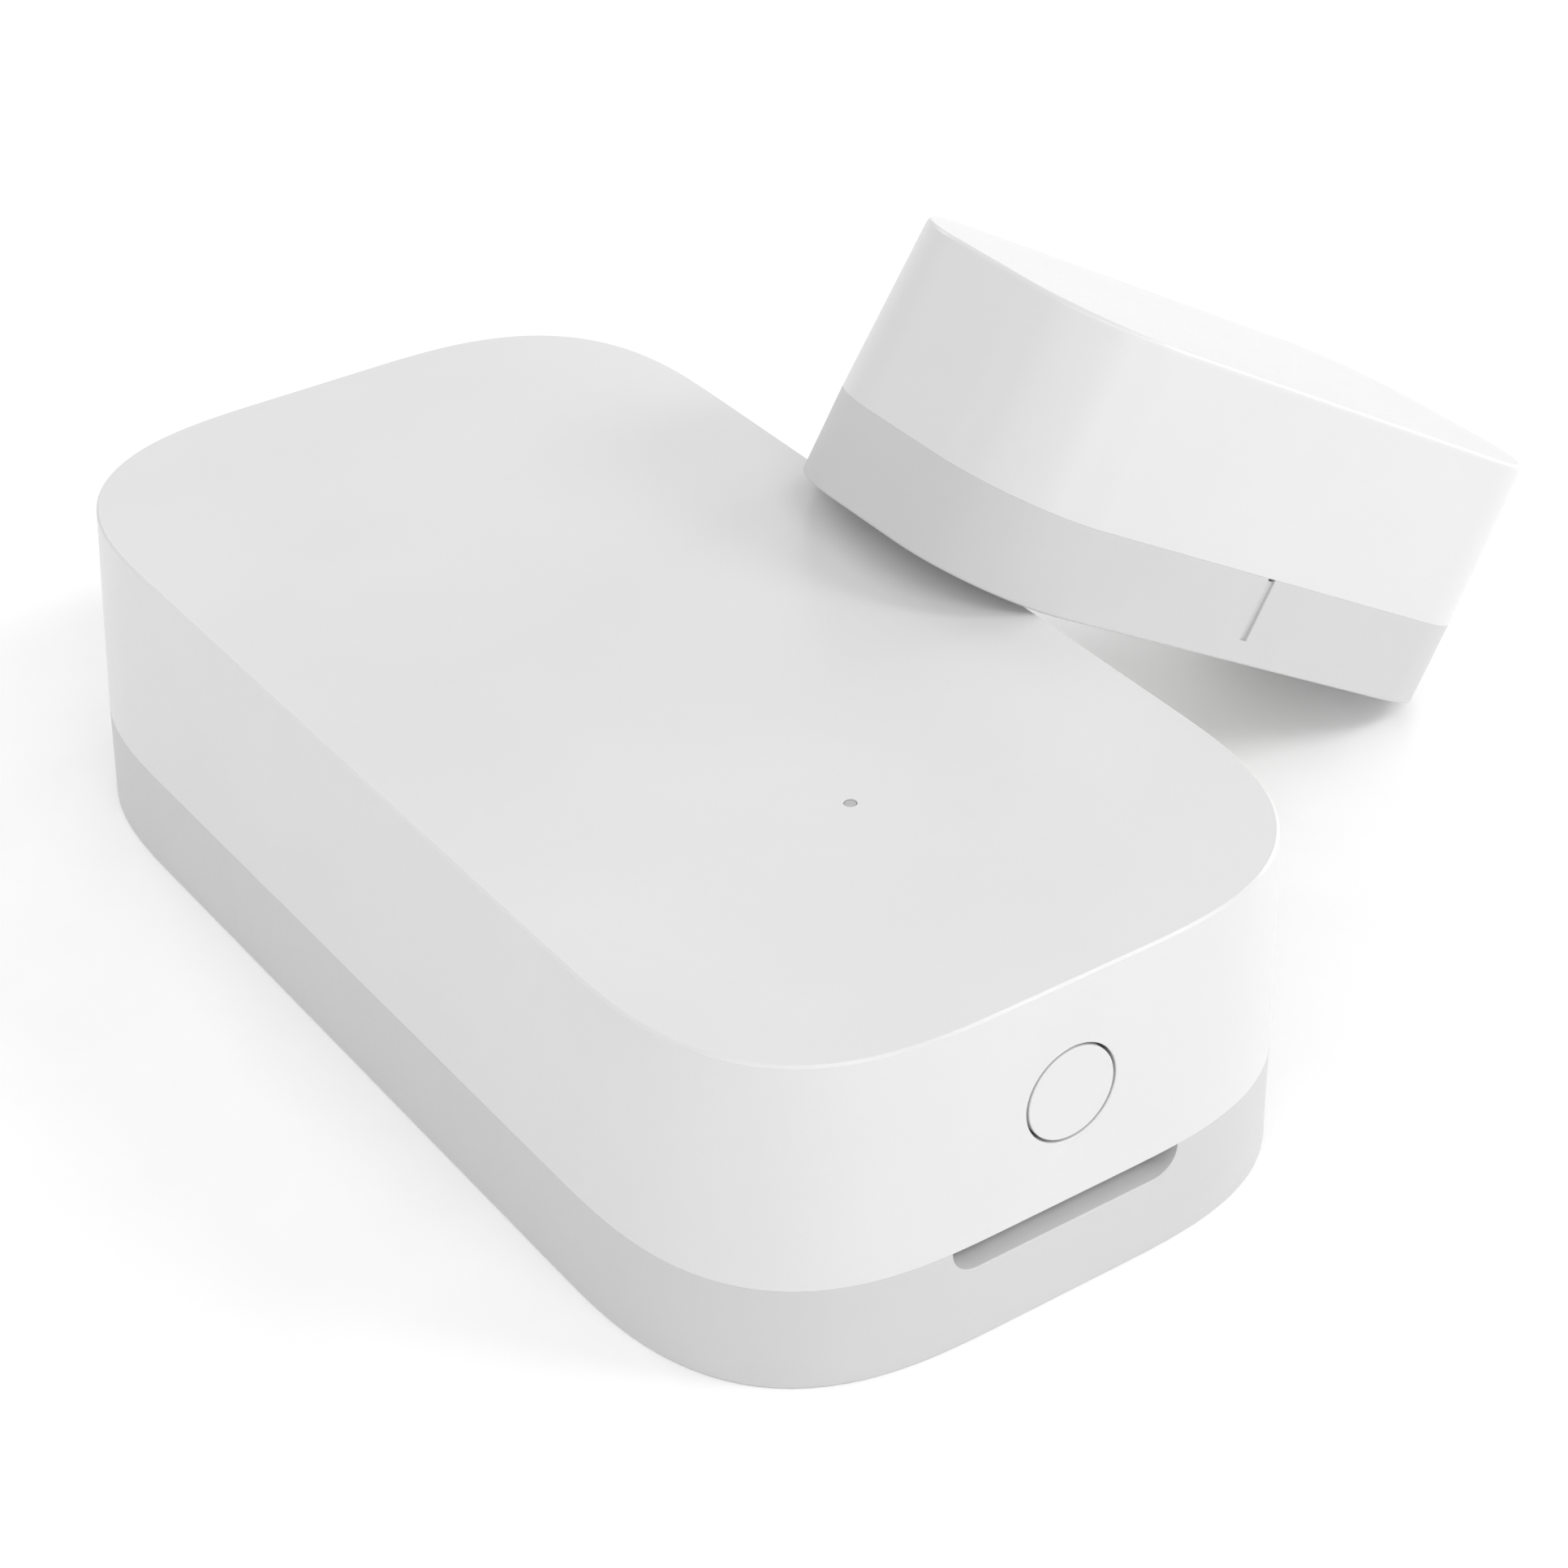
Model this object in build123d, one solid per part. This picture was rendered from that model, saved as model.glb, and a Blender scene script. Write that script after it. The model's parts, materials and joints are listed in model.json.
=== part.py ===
"""Two-piece wireless contact sensor: a sensor unit, and a magnet unit that leans on it.

Millimetres, +Z up. The origin is the middle of the sensor unit's underside, and Y is its long axis,
with the button in the -Y end wall. The magnet unit is drawn flat in a frame of its own, long along
X, and is then tilted about Y, so that its +X end stands on the table and its underside clears the
sensor unit's top edge.
"""

from build123d import *

import math
import os

# ---------------------------------------------------------------- shared by both units
WALL = 1.2
CEILING = 1.2
LIP_CLEARANCE = 0.15  # between a lower cover's lip and the wall round it
LIP_THICKNESS = 0.8
TOP_EDGE_RADIUS = 0.17
TAPE_THICKNESS = 0.5  # each tape lies in a recess and is flush with the underside
TAPE_CLEARANCE = 0.2  # all round, in the recess
MARK_WIDTH = 0.34  # alignment line, on both units
MARK_DEPTH = 0.16
MARK_FOOT = 0.78
MARK_RELIEF_DEPTH = 0.5  # deeper end of the line, just under the seam
MARK_RELIEF_HEIGHT = 0.1
BEYOND = 30.0  # far enough for a cutter to pass every wall

# ---------------------------------------------------------------- sensor unit: covers
SENSOR_LENGTH = 41.0  # outer size of the underside, along Y
SENSOR_WIDTH = 22.03  # along X
SENSOR_HEIGHT = 10.83
SEAM_HEIGHT = 3.46  # where the housing meets the base cover
BASE_DRAFT = 0.087  # each wall leans in by this much from the underside to the seam
HOUSING_DRAFT = 0.306  # and by this much more from the seam to the top
CORNER_RADIUS = 9.0  # at the underside, the room that a corner takes along each side
CORNER_EASE = (0.381, 0.732)  # handle lengths that ease a corner into the straight sides
SENSOR_CEILING = SENSOR_HEIGHT - CEILING

BASE_FLOOR_TOP = 1.3
LIP_TOP = 4.9
SENSOR_TAPE = (33.0, 14.5, 6.0)  # length, width, corner

BEAD_PROUD = 0.08  # snap beads, two on each long side of the lip
BEAD_LENGTH = 5.0
BEAD_WIDTH = 0.4
BEAD_Y = 6.5
BEAD_Z = 4.0
BEAD_ROOT = 0.2  # how far a bead is sunk into the lip

SEAT_RADIUS = 6.9  # ring on the floor that keeps the cell from dropping
SEAT_WIDTH = 0.6
SEAT_HEIGHT = 0.2
RIB_Y = 13.4  # stiffening ribs across the floor
RIB_WIDTH = 0.8
RIB_HEIGHT = 1.0
RIB_HALF_LENGTH = 6.0

NOTCH_WIDTH = 7.92
NOTCH_HEIGHT = 0.87
NOTCH_RADIUS = 0.85

# ---------------------------------------------------------------- sensor unit: light pipe and button
LIGHT_Y = -10.2
LIGHT_HOLE_RADIUS = 0.2
LIGHT_TIP_RADIUS = 0.19
LIGHT_TIP_SUNK = 0.03
LIGHT_FLANGE_RADIUS = 1.0
LIGHT_FLANGE_THICKNESS = 0.6
LIGHT_FLANGE_CLEARANCE = 0.05
LIGHT_BOSS_WALL = 0.6
LIGHT_SHAFT_RADIUS = 0.7
LIGHT_SHAFT_FOOT = 7.15
LIGHT_FLANGE_FOOT = SENSOR_CEILING - LIGHT_FLANGE_THICKNESS

BUTTON_HEIGHT = 7.08  # the button's axis above the table
BUTTON_HOLE_RADIUS = 1.545
BUTTON_RADIUS = 1.458
BUTTON_FLANGE_RADIUS = 1.95
BUTTON_FLANGE_THICKNESS = 0.45
BUTTON_FLANGE_CLEARANCE = 0.05
BUTTON_STEM_RADIUS = 0.6

# ---------------------------------------------------------------- sensor unit: board
BOARD_BOTTOM = 5.4
BOARD_THICKNESS = 0.8
BOARD_TOP = BOARD_BOTTOM + BOARD_THICKNESS
BOARD_SIZE = (36.0, 17.4, 7.4)  # length, width, corner
STAKES = [(-5.6, -11.6), (5.6, -11.6), (-5.6, 12.6), (5.6, 12.6)]
STAKE_RADIUS = 1.1
STAKE_PIN_RADIUS = 0.55
STAKE_HOLE_RADIUS = 0.65
STAKE_HEAD_RADIUS = 0.9
STAKE_HEAD_THICKNESS = 0.4
STAKE_FOOT = BOARD_BOTTOM - STAKE_HEAD_THICKNESS

COPPER_THICKNESS = 0.04
TEST_PAD_RADIUS = 0.5
TEST_PAD_PLACES = [(-3.0 + 1.5 * step, -5.2) for step in range(5)]
ANTENNA_COPPER = 0.5
ANTENNA_HALF = 3.6
ANTENNA_PITCH = 1.0
ANTENNA_BARS = 4
ANTENNA_Y = 12.2
ANTENNA_FEED = 2.6

# Each component's length, width and height, and the x, y and turn in degrees of each copy.
RADIO_CHIP = ((6.0, 6.0, 0.85), [(-1.6, 2.6, 0)])
CRYSTAL = ((3.2, 2.5, 0.75), [(3.4, 5.2, 90)])
BULK_CAPACITOR = ((3.5, 2.8, 1.9), [(-6.0, -5.4, 90)])
STATUS_LED = ((1.6, 0.8, 0.6), [(0, LIGHT_Y, 0)])
CAPACITOR_COLUMN = [(-6.4, 1.0 + 1.2 * step, 0) for step in range(4)]
CAPACITOR_ROW = [(-3.6 + 1.3 * step, 7.2, 90) for step in range(4)]
CHIP_CAPACITORS = ((1.0, 0.5, 0.5), CAPACITOR_COLUMN + CAPACITOR_ROW)
RESISTOR_COLUMN = [(3.3, -3.4 + 1.2 * step, 0) for step in range(4)]
RESISTOR_PAIR = [(-2.4, -8.0, 90), (2.4, -8.0, 90)]
CHIP_RESISTORS = ((1.0, 0.5, 0.35), RESISTOR_COLUMN + RESISTOR_PAIR)

# ---------------------------------------------------------------- sensor unit: side-push switch
SWITCH_HALF_WIDTH = 1.8
SWITCH_FRONT = -17.6
SWITCH_BACK = -14.9
SWITCH_ROOF = BOARD_TOP + 1.75
SWITCH_SHEET = 0.15
SWITCH_CAVITY = (1.15, -15.7, 0.6)  # half width, back wall's y, half height
SWITCH_WINDOW = (0.75, 0.45)  # half width, half height
SWITCH_SKIRT_SETBACK = 0.5
SWITCH_TAB = (0.6, -16.6, -15.8)  # reach from the body's side, front and back

PLUNGER_FRONT = -18.2
PLUNGER_NOSE = (0.65, PLUNGER_FRONT, -17.3, 0.35)  # half width, front, back, half height
PLUNGER_SHOULDER = (1.05, -17.55, -17.0, 0.5)
PLUNGER_TAIL = (0.4, -17.0, -16.5, 0.4)
DOME_APEX = -16.2
DOME_FOOT = -15.75
DOME_HALF_WIDTH = 1.1
DOME_SHEET = 0.06
DOME_HALF_HEIGHT = 0.45

# ---------------------------------------------------------------- sensor unit: reed switch
REED_X = 7.0
REED_RADIUS = 0.9
REED_BORE_RADIUS = 0.65
REED_HALF_LENGTH = 5.5
REED_SEAL = 1.4  # glass closed round the lead at each end
REED_END_RADIUS = 0.5
REED_GAP_BELOW = 0.15
REED_Z = BOARD_TOP + REED_GAP_BELOW + REED_RADIUS
REED_LEG_Y = 7.2
REED_LEAD_RADIUS = 0.25
REED_LEAD_BEND = 0.5
REED_LEAD_FOOT = BOARD_BOTTOM - 0.3
BLADE_ROOT_Y = 3.4
BLADE_OVERLAP = 0.6  # each blade reaches this far past the middle
BLADE_HALF_WIDTH = 0.4
BLADE_HALF_THICKNESS = 0.05
BLADE_RISE = 0.07  # blades lie this far above and below the axis

# ---------------------------------------------------------------- sensor unit: coin cell and contacts
CELL_Y = 1.0
CELL_RADIUS = 8.0  # 16 mm coin cell, 3.2 mm thick
CELL_TOP = 5.05
CELL_BOTTOM = CELL_TOP - 3.2
CELL_SHEET = 0.25
CELL_CAN_RIM = CELL_TOP - 0.3
CELL_GASKET_WIDTH = 0.55
CELL_GASKET_RIM = CELL_TOP - 0.2
CELL_LID_SKIRT = 1.4
CELL_EDGE_RADIUS = 0.25

CLIP_SHEET = 0.25
CLIP_WIDTH = 7.0
CLIP_SIDE_CLEARANCE = 0.1
CLIP_BEND_RADIUS = 0.22
CLIP_HOLE_RADIUS = 2.2
CLIP_FOOT_LENGTH = 0.3  # solder feet, two on each side wall
CLIP_FOOT_WIDTH = 1.5
CLIP_FOOT_MARGIN = 0.2

CONTACT_SHEET = 0.12
CONTACT_HUB_RADIUS = 1.6
CONTACT_TURNS = (90, 210, 330)
FINGER_HALF_WIDTH = 0.6
FINGER_ROOT = 1.3
FINGER_BEND = 1.8
FINGER_TOUCH = 4.4
FINGER_TIP = 5.0
FINGER_LEAN = 0.05  # the under face bends this much sooner than the upper one

# ---------------------------------------------------------------- magnet unit
MAGNET_LENGTH = 24.9
MAGNET_WIDTH = 11.25
MAGNET_HEIGHT = 8.86
MAGNET_SEAM = 2.96
MAGNET_BASE_DRAFT = 0.042
MAGNET_CAP_DRAFT = 0.255
MAGNET_CORNER = 3.98
MAGNET_CEILING = MAGNET_HEIGHT - CEILING
MAGNET_FLOOR_TOP = 1.3
MAGNET_LIP_TOP = 4.2
MAGNET_TAPE = (15.0, 5.5, 1.5)  # length, width, corner

BAR_LENGTH = 17.0
BAR_WIDTH = 5.4
BAR_THICKNESS = 4.0
BAR_CHAMFER = 0.25
BAR_CLEARANCE = 0.05
BAR_TOP = MAGNET_FLOOR_TOP + BAR_THICKNESS
CRADLE_THICKNESS = 0.7
CRADLE_TOP = 4.6
CRADLE_ARM_X = 2.0  # how far each corner bracket runs along the bar
CRADLE_ARM_Y = 1.2  # and across it
PRESSER_X = 5.5  # ribs under the ceiling that hold the bar down
PRESSER_HALF_WIDTH = 0.4
PRESSER_HALF_LENGTH = 2.0

TILT = 30.0  # degrees about Y
FOOT_CLEARANCE = 0.02  # the standing edge's height over the table
LEAN_CLEARANCE = 0.15  # between the magnet unit's underside and the sensor unit's top edge

# ---------------------------------------------------------------- worked out from the driving dimensions
SENSOR_SIZE = (SENSOR_LENGTH, SENSOR_WIDTH, CORNER_RADIUS)
SENSOR_TOP_INSET = BASE_DRAFT + HOUSING_DRAFT
LIP_INSET = BASE_DRAFT + WALL + LIP_CLEARANCE
MAGNET_SIZE = (MAGNET_LENGTH, MAGNET_WIDTH, MAGNET_CORNER)
MAGNET_TOP_INSET = MAGNET_BASE_DRAFT + MAGNET_CAP_DRAFT
MAGNET_LIP_INSET = MAGNET_BASE_DRAFT + WALL + LIP_CLEARANCE


# ---------------------------------------------------------------- outlines and plain solids
def eased_outline(length, width, corner, height):
    """Face at the given height: a rounded rectangle, long along Y, whose corners ease into its sides."""
    near, far = CORNER_EASE
    handles = [(1, 0), (1, near), (1, far), (far, 1), (near, 1), (0, 1)]
    centre_x = width / 2 - corner
    centre_y = length / 2 - corner
    edges = []
    ends = []
    for sign_x, sign_y in ((1, 1), (-1, 1), (-1, -1), (1, -1)):
        points = []
        for x, y in handles:
            points.append((sign_x * (centre_x + corner * x), sign_y * (centre_y + corner * y), height))
        if sign_x * sign_y < 0:
            points.reverse()
        edges.append(Bezier(*points))
        ends.append((points[0], points[-1]))
    for index in range(4):
        edges.append(Line(ends[index][1], ends[(index + 1) % 4][0]))
    return Face(Wire(edges))


def round_outline(length, width, corner, height):
    """Face at the given height: a rectangle, long along X, with circular corners."""
    return Pos(0, 0, height) * RectangleRounded(length, width, corner).face()


def drafted(outline, size, low, high, low_inset=0.0, high_inset=0.0):
    """Solid between two heights whose outline, inset by the given amounts, changes evenly."""
    length, width, corner = size
    sections = []
    for height, inset in ((low, low_inset), (high, high_inset)):
        sections.append(outline(length - 2 * inset, width - 2 * inset, corner - inset, height))
    return loft(sections, ruled=True)


def block(low, high):
    """Box between two opposite corners."""
    size = [high[axis] - low[axis] for axis in range(3)]
    centre = [(high[axis] + low[axis]) / 2 for axis in range(3)]
    return Pos(*centre) * Box(*size)


def side_block(side, inner, outer, low_y, high_y, low_z, high_z):
    """Box from an inner to an outer distance from the middle plane, on the +X or the -X side."""
    low_x, high_x = sorted((side * inner, side * outer))
    return block((low_x, low_y, low_z), (high_x, high_y, high_z))


def disc(radius, low, high, x=0.0, y=0.0):
    """Upright cylinder between two heights."""
    return Pos(x, y, (low + high) / 2) * Cylinder(radius, high - low)


def rod_y(radius, front, back, x=0.0, z=0.0):
    """Cylinder along Y between two places."""
    return Pos(x, (front + back) / 2, z) * Rot(90, 0, 0) * Cylinder(radius, back - front)


def housing_inset(height):
    """How far the housing's outer wall has leant in at a height."""
    share = (height - SEAM_HEIGHT) / (SENSOR_HEIGHT - SEAM_HEIGHT)
    return BASE_DRAFT + HOUSING_DRAFT * share


# ---------------------------------------------------------------- sensor unit: covers and outside pieces
def alignment_mark(outer_face, foot, seam):
    """Cutter for the engraved line, on a wall that faces +X at the given place."""
    half = MARK_WIDTH / 2
    high = (outer_face + MARK_DEPTH, half, seam)
    line = block((outer_face - MARK_DEPTH, -half, foot), high)
    return line + block((outer_face - MARK_RELIEF_DEPTH, -half, seam - MARK_RELIEF_HEIGHT), high)


def pry_notch():
    """Cutter for the fingernail notch in the base cover's -Y wall, open to the seam."""
    depth = WALL + LIP_CLEARANCE
    outer_face = SENSOR_LENGTH / 2 - BASE_DRAFT
    outline = Pos(0, SEAM_HEIGHT) * Rectangle(NOTCH_WIDTH, 2 * NOTCH_HEIGHT)
    outline = fillet(outline.vertices(), NOTCH_RADIUS)
    cutter = extrude(Plane.XZ.offset(outer_face - depth) * outline, 2 * depth)
    below_seam = block((-NOTCH_WIDTH, -BEYOND, 0), (NOTCH_WIDTH, 0, SEAM_HEIGHT))
    return cutter & below_seam


def tape_recess(outline, tape):
    """Cutter for the shallow recess that a tape lies in."""
    length, width, corner = tape
    size = (length + 2 * TAPE_CLEARANCE, width + 2 * TAPE_CLEARANCE, corner + TAPE_CLEARANCE)
    return drafted(outline, size, 0, TAPE_THICKNESS)


def base_cover():
    """Lower cover: floor with a raised lip that the housing's wall fits round."""
    bay_inset = LIP_INSET + LIP_THICKNESS
    cover = drafted(eased_outline, SENSOR_SIZE, 0, SEAM_HEIGHT, 0, BASE_DRAFT)
    cover += drafted(eased_outline, SENSOR_SIZE, BASE_FLOOR_TOP, LIP_TOP, LIP_INSET, LIP_INSET)
    cover -= drafted(eased_outline, SENSOR_SIZE, BASE_FLOOR_TOP, LIP_TOP, bay_inset, bay_inset)
    cover -= tape_recess(eased_outline, SENSOR_TAPE)
    cover -= pry_notch()
    cover -= alignment_mark(SENSOR_WIDTH / 2 - BASE_DRAFT, MARK_FOOT, SEAM_HEIGHT)
    lip_face = SENSOR_WIDTH / 2 - LIP_INSET
    for side in (-1, 1):
        for y in (-BEAD_Y, BEAD_Y):
            cover += side_block(
                side,
                lip_face - BEAD_ROOT,
                lip_face + BEAD_PROUD,
                y - BEAD_LENGTH / 2,
                y + BEAD_LENGTH / 2,
                BEAD_Z - BEAD_WIDTH / 2,
                BEAD_Z + BEAD_WIDTH / 2,
            )
    seat_top = BASE_FLOOR_TOP + SEAT_HEIGHT
    seat = disc(SEAT_RADIUS, BASE_FLOOR_TOP, seat_top, y=CELL_Y)
    cover += seat - disc(SEAT_RADIUS - SEAT_WIDTH, BASE_FLOOR_TOP, seat_top, y=CELL_Y)
    rib_top = BASE_FLOOR_TOP + RIB_HEIGHT
    for y in (-RIB_Y, RIB_Y):
        low = (-RIB_HALF_LENGTH, y - RIB_WIDTH / 2, BASE_FLOOR_TOP)
        cover += block(low, (RIB_HALF_LENGTH, y + RIB_WIDTH / 2, rib_top))
    return cover


def sensor_tape():
    return drafted(eased_outline, SENSOR_TAPE, 0, TAPE_THICKNESS)


def housing_envelope():
    """The housing's outer form, with its top edge still sharp."""
    return drafted(eased_outline, SENSOR_SIZE, SEAM_HEIGHT, SENSOR_HEIGHT, BASE_DRAFT, SENSOR_TOP_INSET)


def upper_housing():
    """Top shell, with four heat stakes for the board and a boss for the light pipe's flange."""
    outer = housing_envelope()
    outer = fillet(outer.faces().sort_by(Axis.Z)[-1].edges(), TOP_EDGE_RADIUS)
    low_inset = BASE_DRAFT + WALL
    top_inset = housing_inset(SENSOR_CEILING) + WALL
    inner = drafted(eased_outline, SENSOR_SIZE, SEAM_HEIGHT, SENSOR_CEILING, low_inset, top_inset)
    shell = outer - inner
    shell -= rod_y(BUTTON_HOLE_RADIUS, -BEYOND, SWITCH_FRONT, z=BUTTON_HEIGHT)
    for x, y in STAKES:
        shell += disc(STAKE_RADIUS, BOARD_TOP, SENSOR_CEILING, x, y)
        shell += disc(STAKE_PIN_RADIUS, STAKE_FOOT, BOARD_TOP, x, y)
        shell += disc(STAKE_HEAD_RADIUS, STAKE_FOOT, BOARD_BOTTOM, x, y)
    boss_radius = LIGHT_FLANGE_RADIUS + LIGHT_BOSS_WALL
    pocket_radius = LIGHT_FLANGE_RADIUS + LIGHT_FLANGE_CLEARANCE
    shell += disc(boss_radius, LIGHT_FLANGE_FOOT, SENSOR_CEILING, y=LIGHT_Y)
    shell -= disc(pocket_radius, LIGHT_FLANGE_FOOT, SENSOR_CEILING, y=LIGHT_Y)
    shell -= disc(LIGHT_HOLE_RADIUS, LIGHT_FLANGE_FOOT, SENSOR_HEIGHT + CEILING, y=LIGHT_Y)
    return shell


def light_pipe():
    pipe = disc(LIGHT_TIP_RADIUS, SENSOR_CEILING, SENSOR_HEIGHT - LIGHT_TIP_SUNK, y=LIGHT_Y)
    pipe += disc(LIGHT_FLANGE_RADIUS, LIGHT_FLANGE_FOOT, SENSOR_CEILING, y=LIGHT_Y)
    pipe += disc(LIGHT_SHAFT_RADIUS, LIGHT_SHAFT_FOOT, LIGHT_FLANGE_FOOT, y=LIGHT_Y)
    return pipe


def reset_button():
    """Disc flush with the drafted wall, a flange that keeps it in, and a stem to the switch."""
    inner_wall = WALL + housing_inset(BUTTON_HEIGHT + BUTTON_FLANGE_RADIUS) - SENSOR_LENGTH / 2
    flange_front = inner_wall + BUTTON_FLANGE_CLEARANCE
    flange_back = flange_front + BUTTON_FLANGE_THICKNESS
    button = rod_y(BUTTON_RADIUS, -BEYOND, flange_front, z=BUTTON_HEIGHT) & housing_envelope()
    button += rod_y(BUTTON_FLANGE_RADIUS, flange_front, flange_back, z=BUTTON_HEIGHT)
    button += rod_y(BUTTON_STEM_RADIUS, flange_back, PLUNGER_FRONT, z=BUTTON_HEIGHT)
    return button


# ---------------------------------------------------------------- sensor unit: side-push switch
def at_button(half_width, front, back, half_height):
    """Box centred on the button's axis."""
    low = (-half_width, front, BUTTON_HEIGHT - half_height)
    return block(low, (half_width, back, BUTTON_HEIGHT + half_height))


def switch_body():
    half_width, back_wall, half_height = SWITCH_CAVITY
    low = (-SWITCH_HALF_WIDTH, SWITCH_FRONT, BOARD_TOP)
    body = block(low, (SWITCH_HALF_WIDTH, SWITCH_BACK, SWITCH_ROOF))
    return body - at_button(half_width, SWITCH_FRONT, back_wall, half_height)


def switch_frame():
    """Folded sheet cover: roof, two skirts, front with the plunger's window, and two solder tabs."""
    side = SWITCH_HALF_WIDTH
    skin = side + SWITCH_SHEET
    front = SWITCH_FRONT - SWITCH_SHEET
    top = SWITCH_ROOF + SWITCH_SHEET
    window_width, window_height = SWITCH_WINDOW
    tab_reach, tab_front, tab_back = SWITCH_TAB
    frame = block((-side, front, SWITCH_ROOF), (side, SWITCH_BACK, top))
    frame += block((-side, front, BOARD_TOP), (side, SWITCH_FRONT, SWITCH_ROOF))
    frame -= at_button(window_width, front, SWITCH_FRONT, window_height)
    skirt_front = SWITCH_FRONT + SWITCH_SKIRT_SETBACK
    skirt_back = SWITCH_BACK - SWITCH_SKIRT_SETBACK
    for sign in (-1, 1):
        frame += side_block(sign, side, skin, skirt_front, skirt_back, BOARD_TOP, top)
        tab_top = BOARD_TOP + SWITCH_SHEET
        frame += side_block(sign, skin, side + tab_reach, tab_front, tab_back, BOARD_TOP, tab_top)
    return frame


def switch_plunger():
    return at_button(*PLUNGER_NOSE) + at_button(*PLUNGER_SHOULDER) + at_button(*PLUNGER_TAIL)


def switch_dome():
    """Shallow dished strip behind the plunger: it snaps flat when pressed."""
    half, apex, foot, sheet = DOME_HALF_WIDTH, DOME_APEX, DOME_FOOT, DOME_SHEET
    front = ThreePointArc((-half, foot), (0, apex), (half, foot))
    right = Line((half, foot), (half, foot + sheet))
    back = ThreePointArc((half, foot + sheet), (0, apex + sheet), (-half, foot + sheet))
    left = Line((-half, foot + sheet), (-half, foot))
    strip = Face(Wire([front, right, back, left]))
    return extrude(Pos(0, 0, BUTTON_HEIGHT - DOME_HALF_HEIGHT) * strip, 2 * DOME_HALF_HEIGHT)


# ---------------------------------------------------------------- sensor unit: board and its components
def circuit_board():
    board = drafted(eased_outline, BOARD_SIZE, BOARD_BOTTOM, BOARD_TOP)
    for x, y in STAKES:
        board -= disc(STAKE_HOLE_RADIUS, BOARD_BOTTOM, BOARD_TOP, x, y)
    for y in (-REED_LEG_Y, REED_LEG_Y):
        board -= disc(REED_LEAD_RADIUS + 0.1, BOARD_BOTTOM, BOARD_TOP, REED_X, y)
    return board


def on_board(component):
    """Every copy of one rectangular component, standing on the board."""
    (length, width, height), places = component
    copies = []
    for x, y, turn in places:
        copies.append(Pos(x, y, BOARD_TOP + height / 2) * Rot(0, 0, turn) * Box(length, width, height))
    return Compound(children=copies)


def radio_chip():
    return on_board(RADIO_CHIP)


def crystal():
    return on_board(CRYSTAL)


def bulk_capacitor():
    return on_board(BULK_CAPACITOR)


def status_led():
    return on_board(STATUS_LED)


def chip_capacitors():
    return on_board(CHIP_CAPACITORS)


def chip_resistors():
    return on_board(CHIP_RESISTORS)


def test_pads():
    pads = []
    for x, y in TEST_PAD_PLACES:
        pads.append(disc(TEST_PAD_RADIUS, BOARD_TOP, BOARD_TOP + COPPER_THICKNESS, x, y))
    return Compound(children=pads)


def antenna_trace():
    """Printed meander on the board's +Y end: bars across, joined at alternate ends."""
    low, high = BOARD_TOP, BOARD_TOP + COPPER_THICKNESS
    feed = (-ANTENNA_HALF, ANTENNA_Y - ANTENNA_FEED, low)
    trace = block(feed, (ANTENNA_COPPER - ANTENNA_HALF, ANTENNA_Y, high))
    for bar in range(ANTENNA_BARS):
        y = ANTENNA_Y + ANTENNA_PITCH * bar
        trace += block((-ANTENNA_HALF, y, low), (ANTENNA_HALF, y + ANTENNA_COPPER, high))
        if bar < ANTENNA_BARS - 1:
            edge = ANTENNA_HALF if bar % 2 == 0 else ANTENNA_COPPER - ANTENNA_HALF
            trace += block((edge - ANTENNA_COPPER, y, low), (edge, y + ANTENNA_PITCH + ANTENNA_COPPER, high))
    return trace


# ---------------------------------------------------------------- sensor unit: reed switch
def reed_glass():
    """Sealed tube with rounded ends, hollow in the middle and closed round the two leads."""
    bore_end = REED_HALF_LENGTH - REED_SEAL
    lead_hole = REED_LEAD_RADIUS + 0.01
    tube = rod_y(REED_RADIUS, -REED_HALF_LENGTH, REED_HALF_LENGTH, REED_X, REED_Z)
    tube = fillet(tube.edges(), REED_END_RADIUS)
    tube -= rod_y(REED_BORE_RADIUS, -bore_end, bore_end, REED_X, REED_Z)
    return tube - rod_y(lead_hole, -REED_HALF_LENGTH, REED_HALF_LENGTH, REED_X, REED_Z)


def reed_leads():
    """Two reeds whose flat blades overlap without touching, each with a leg bent down through the board."""
    reeds = []
    for sign in (-1, 1):
        root = (REED_X, sign * BLADE_ROOT_Y, REED_Z)
        corner = (REED_X, sign * REED_LEG_Y, REED_Z)
        foot = (REED_X, sign * REED_LEG_Y, REED_LEAD_FOOT)
        path = FilletPolyline(root, corner, foot, radius=REED_LEAD_BEND)
        section = Plane(origin=root, z_dir=(0, sign, 0)) * Circle(REED_LEAD_RADIUS)
        wire = sweep(section, path=path)
        middle = REED_Z + sign * BLADE_RISE
        low_y, high_y = sorted((-sign * BLADE_OVERLAP, sign * (BLADE_ROOT_Y + 0.1)))
        low = (REED_X - BLADE_HALF_WIDTH, low_y, middle - BLADE_HALF_THICKNESS)
        high = (REED_X + BLADE_HALF_WIDTH, high_y, middle + BLADE_HALF_THICKNESS)
        reeds.append(wire + block(low, high))
    return Compound(children=reeds)


# ---------------------------------------------------------------- sensor unit: coin cell and contacts
CAN_BORE = CELL_RADIUS - CELL_SHEET
GASKET_BORE = CAN_BORE - CELL_GASKET_WIDTH
CORE_RADIUS = GASKET_BORE - CELL_SHEET - 0.05


def cell_disc(radius, low, high):
    return disc(radius, low, high, y=CELL_Y)


def cell_can():
    can = cell_disc(CELL_RADIUS, CELL_BOTTOM, CELL_CAN_RIM)
    can = fillet(can.edges().sort_by(Axis.Z)[0], CELL_EDGE_RADIUS)
    return can - cell_disc(CAN_BORE, CELL_BOTTOM + CELL_SHEET, CELL_CAN_RIM)


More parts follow.
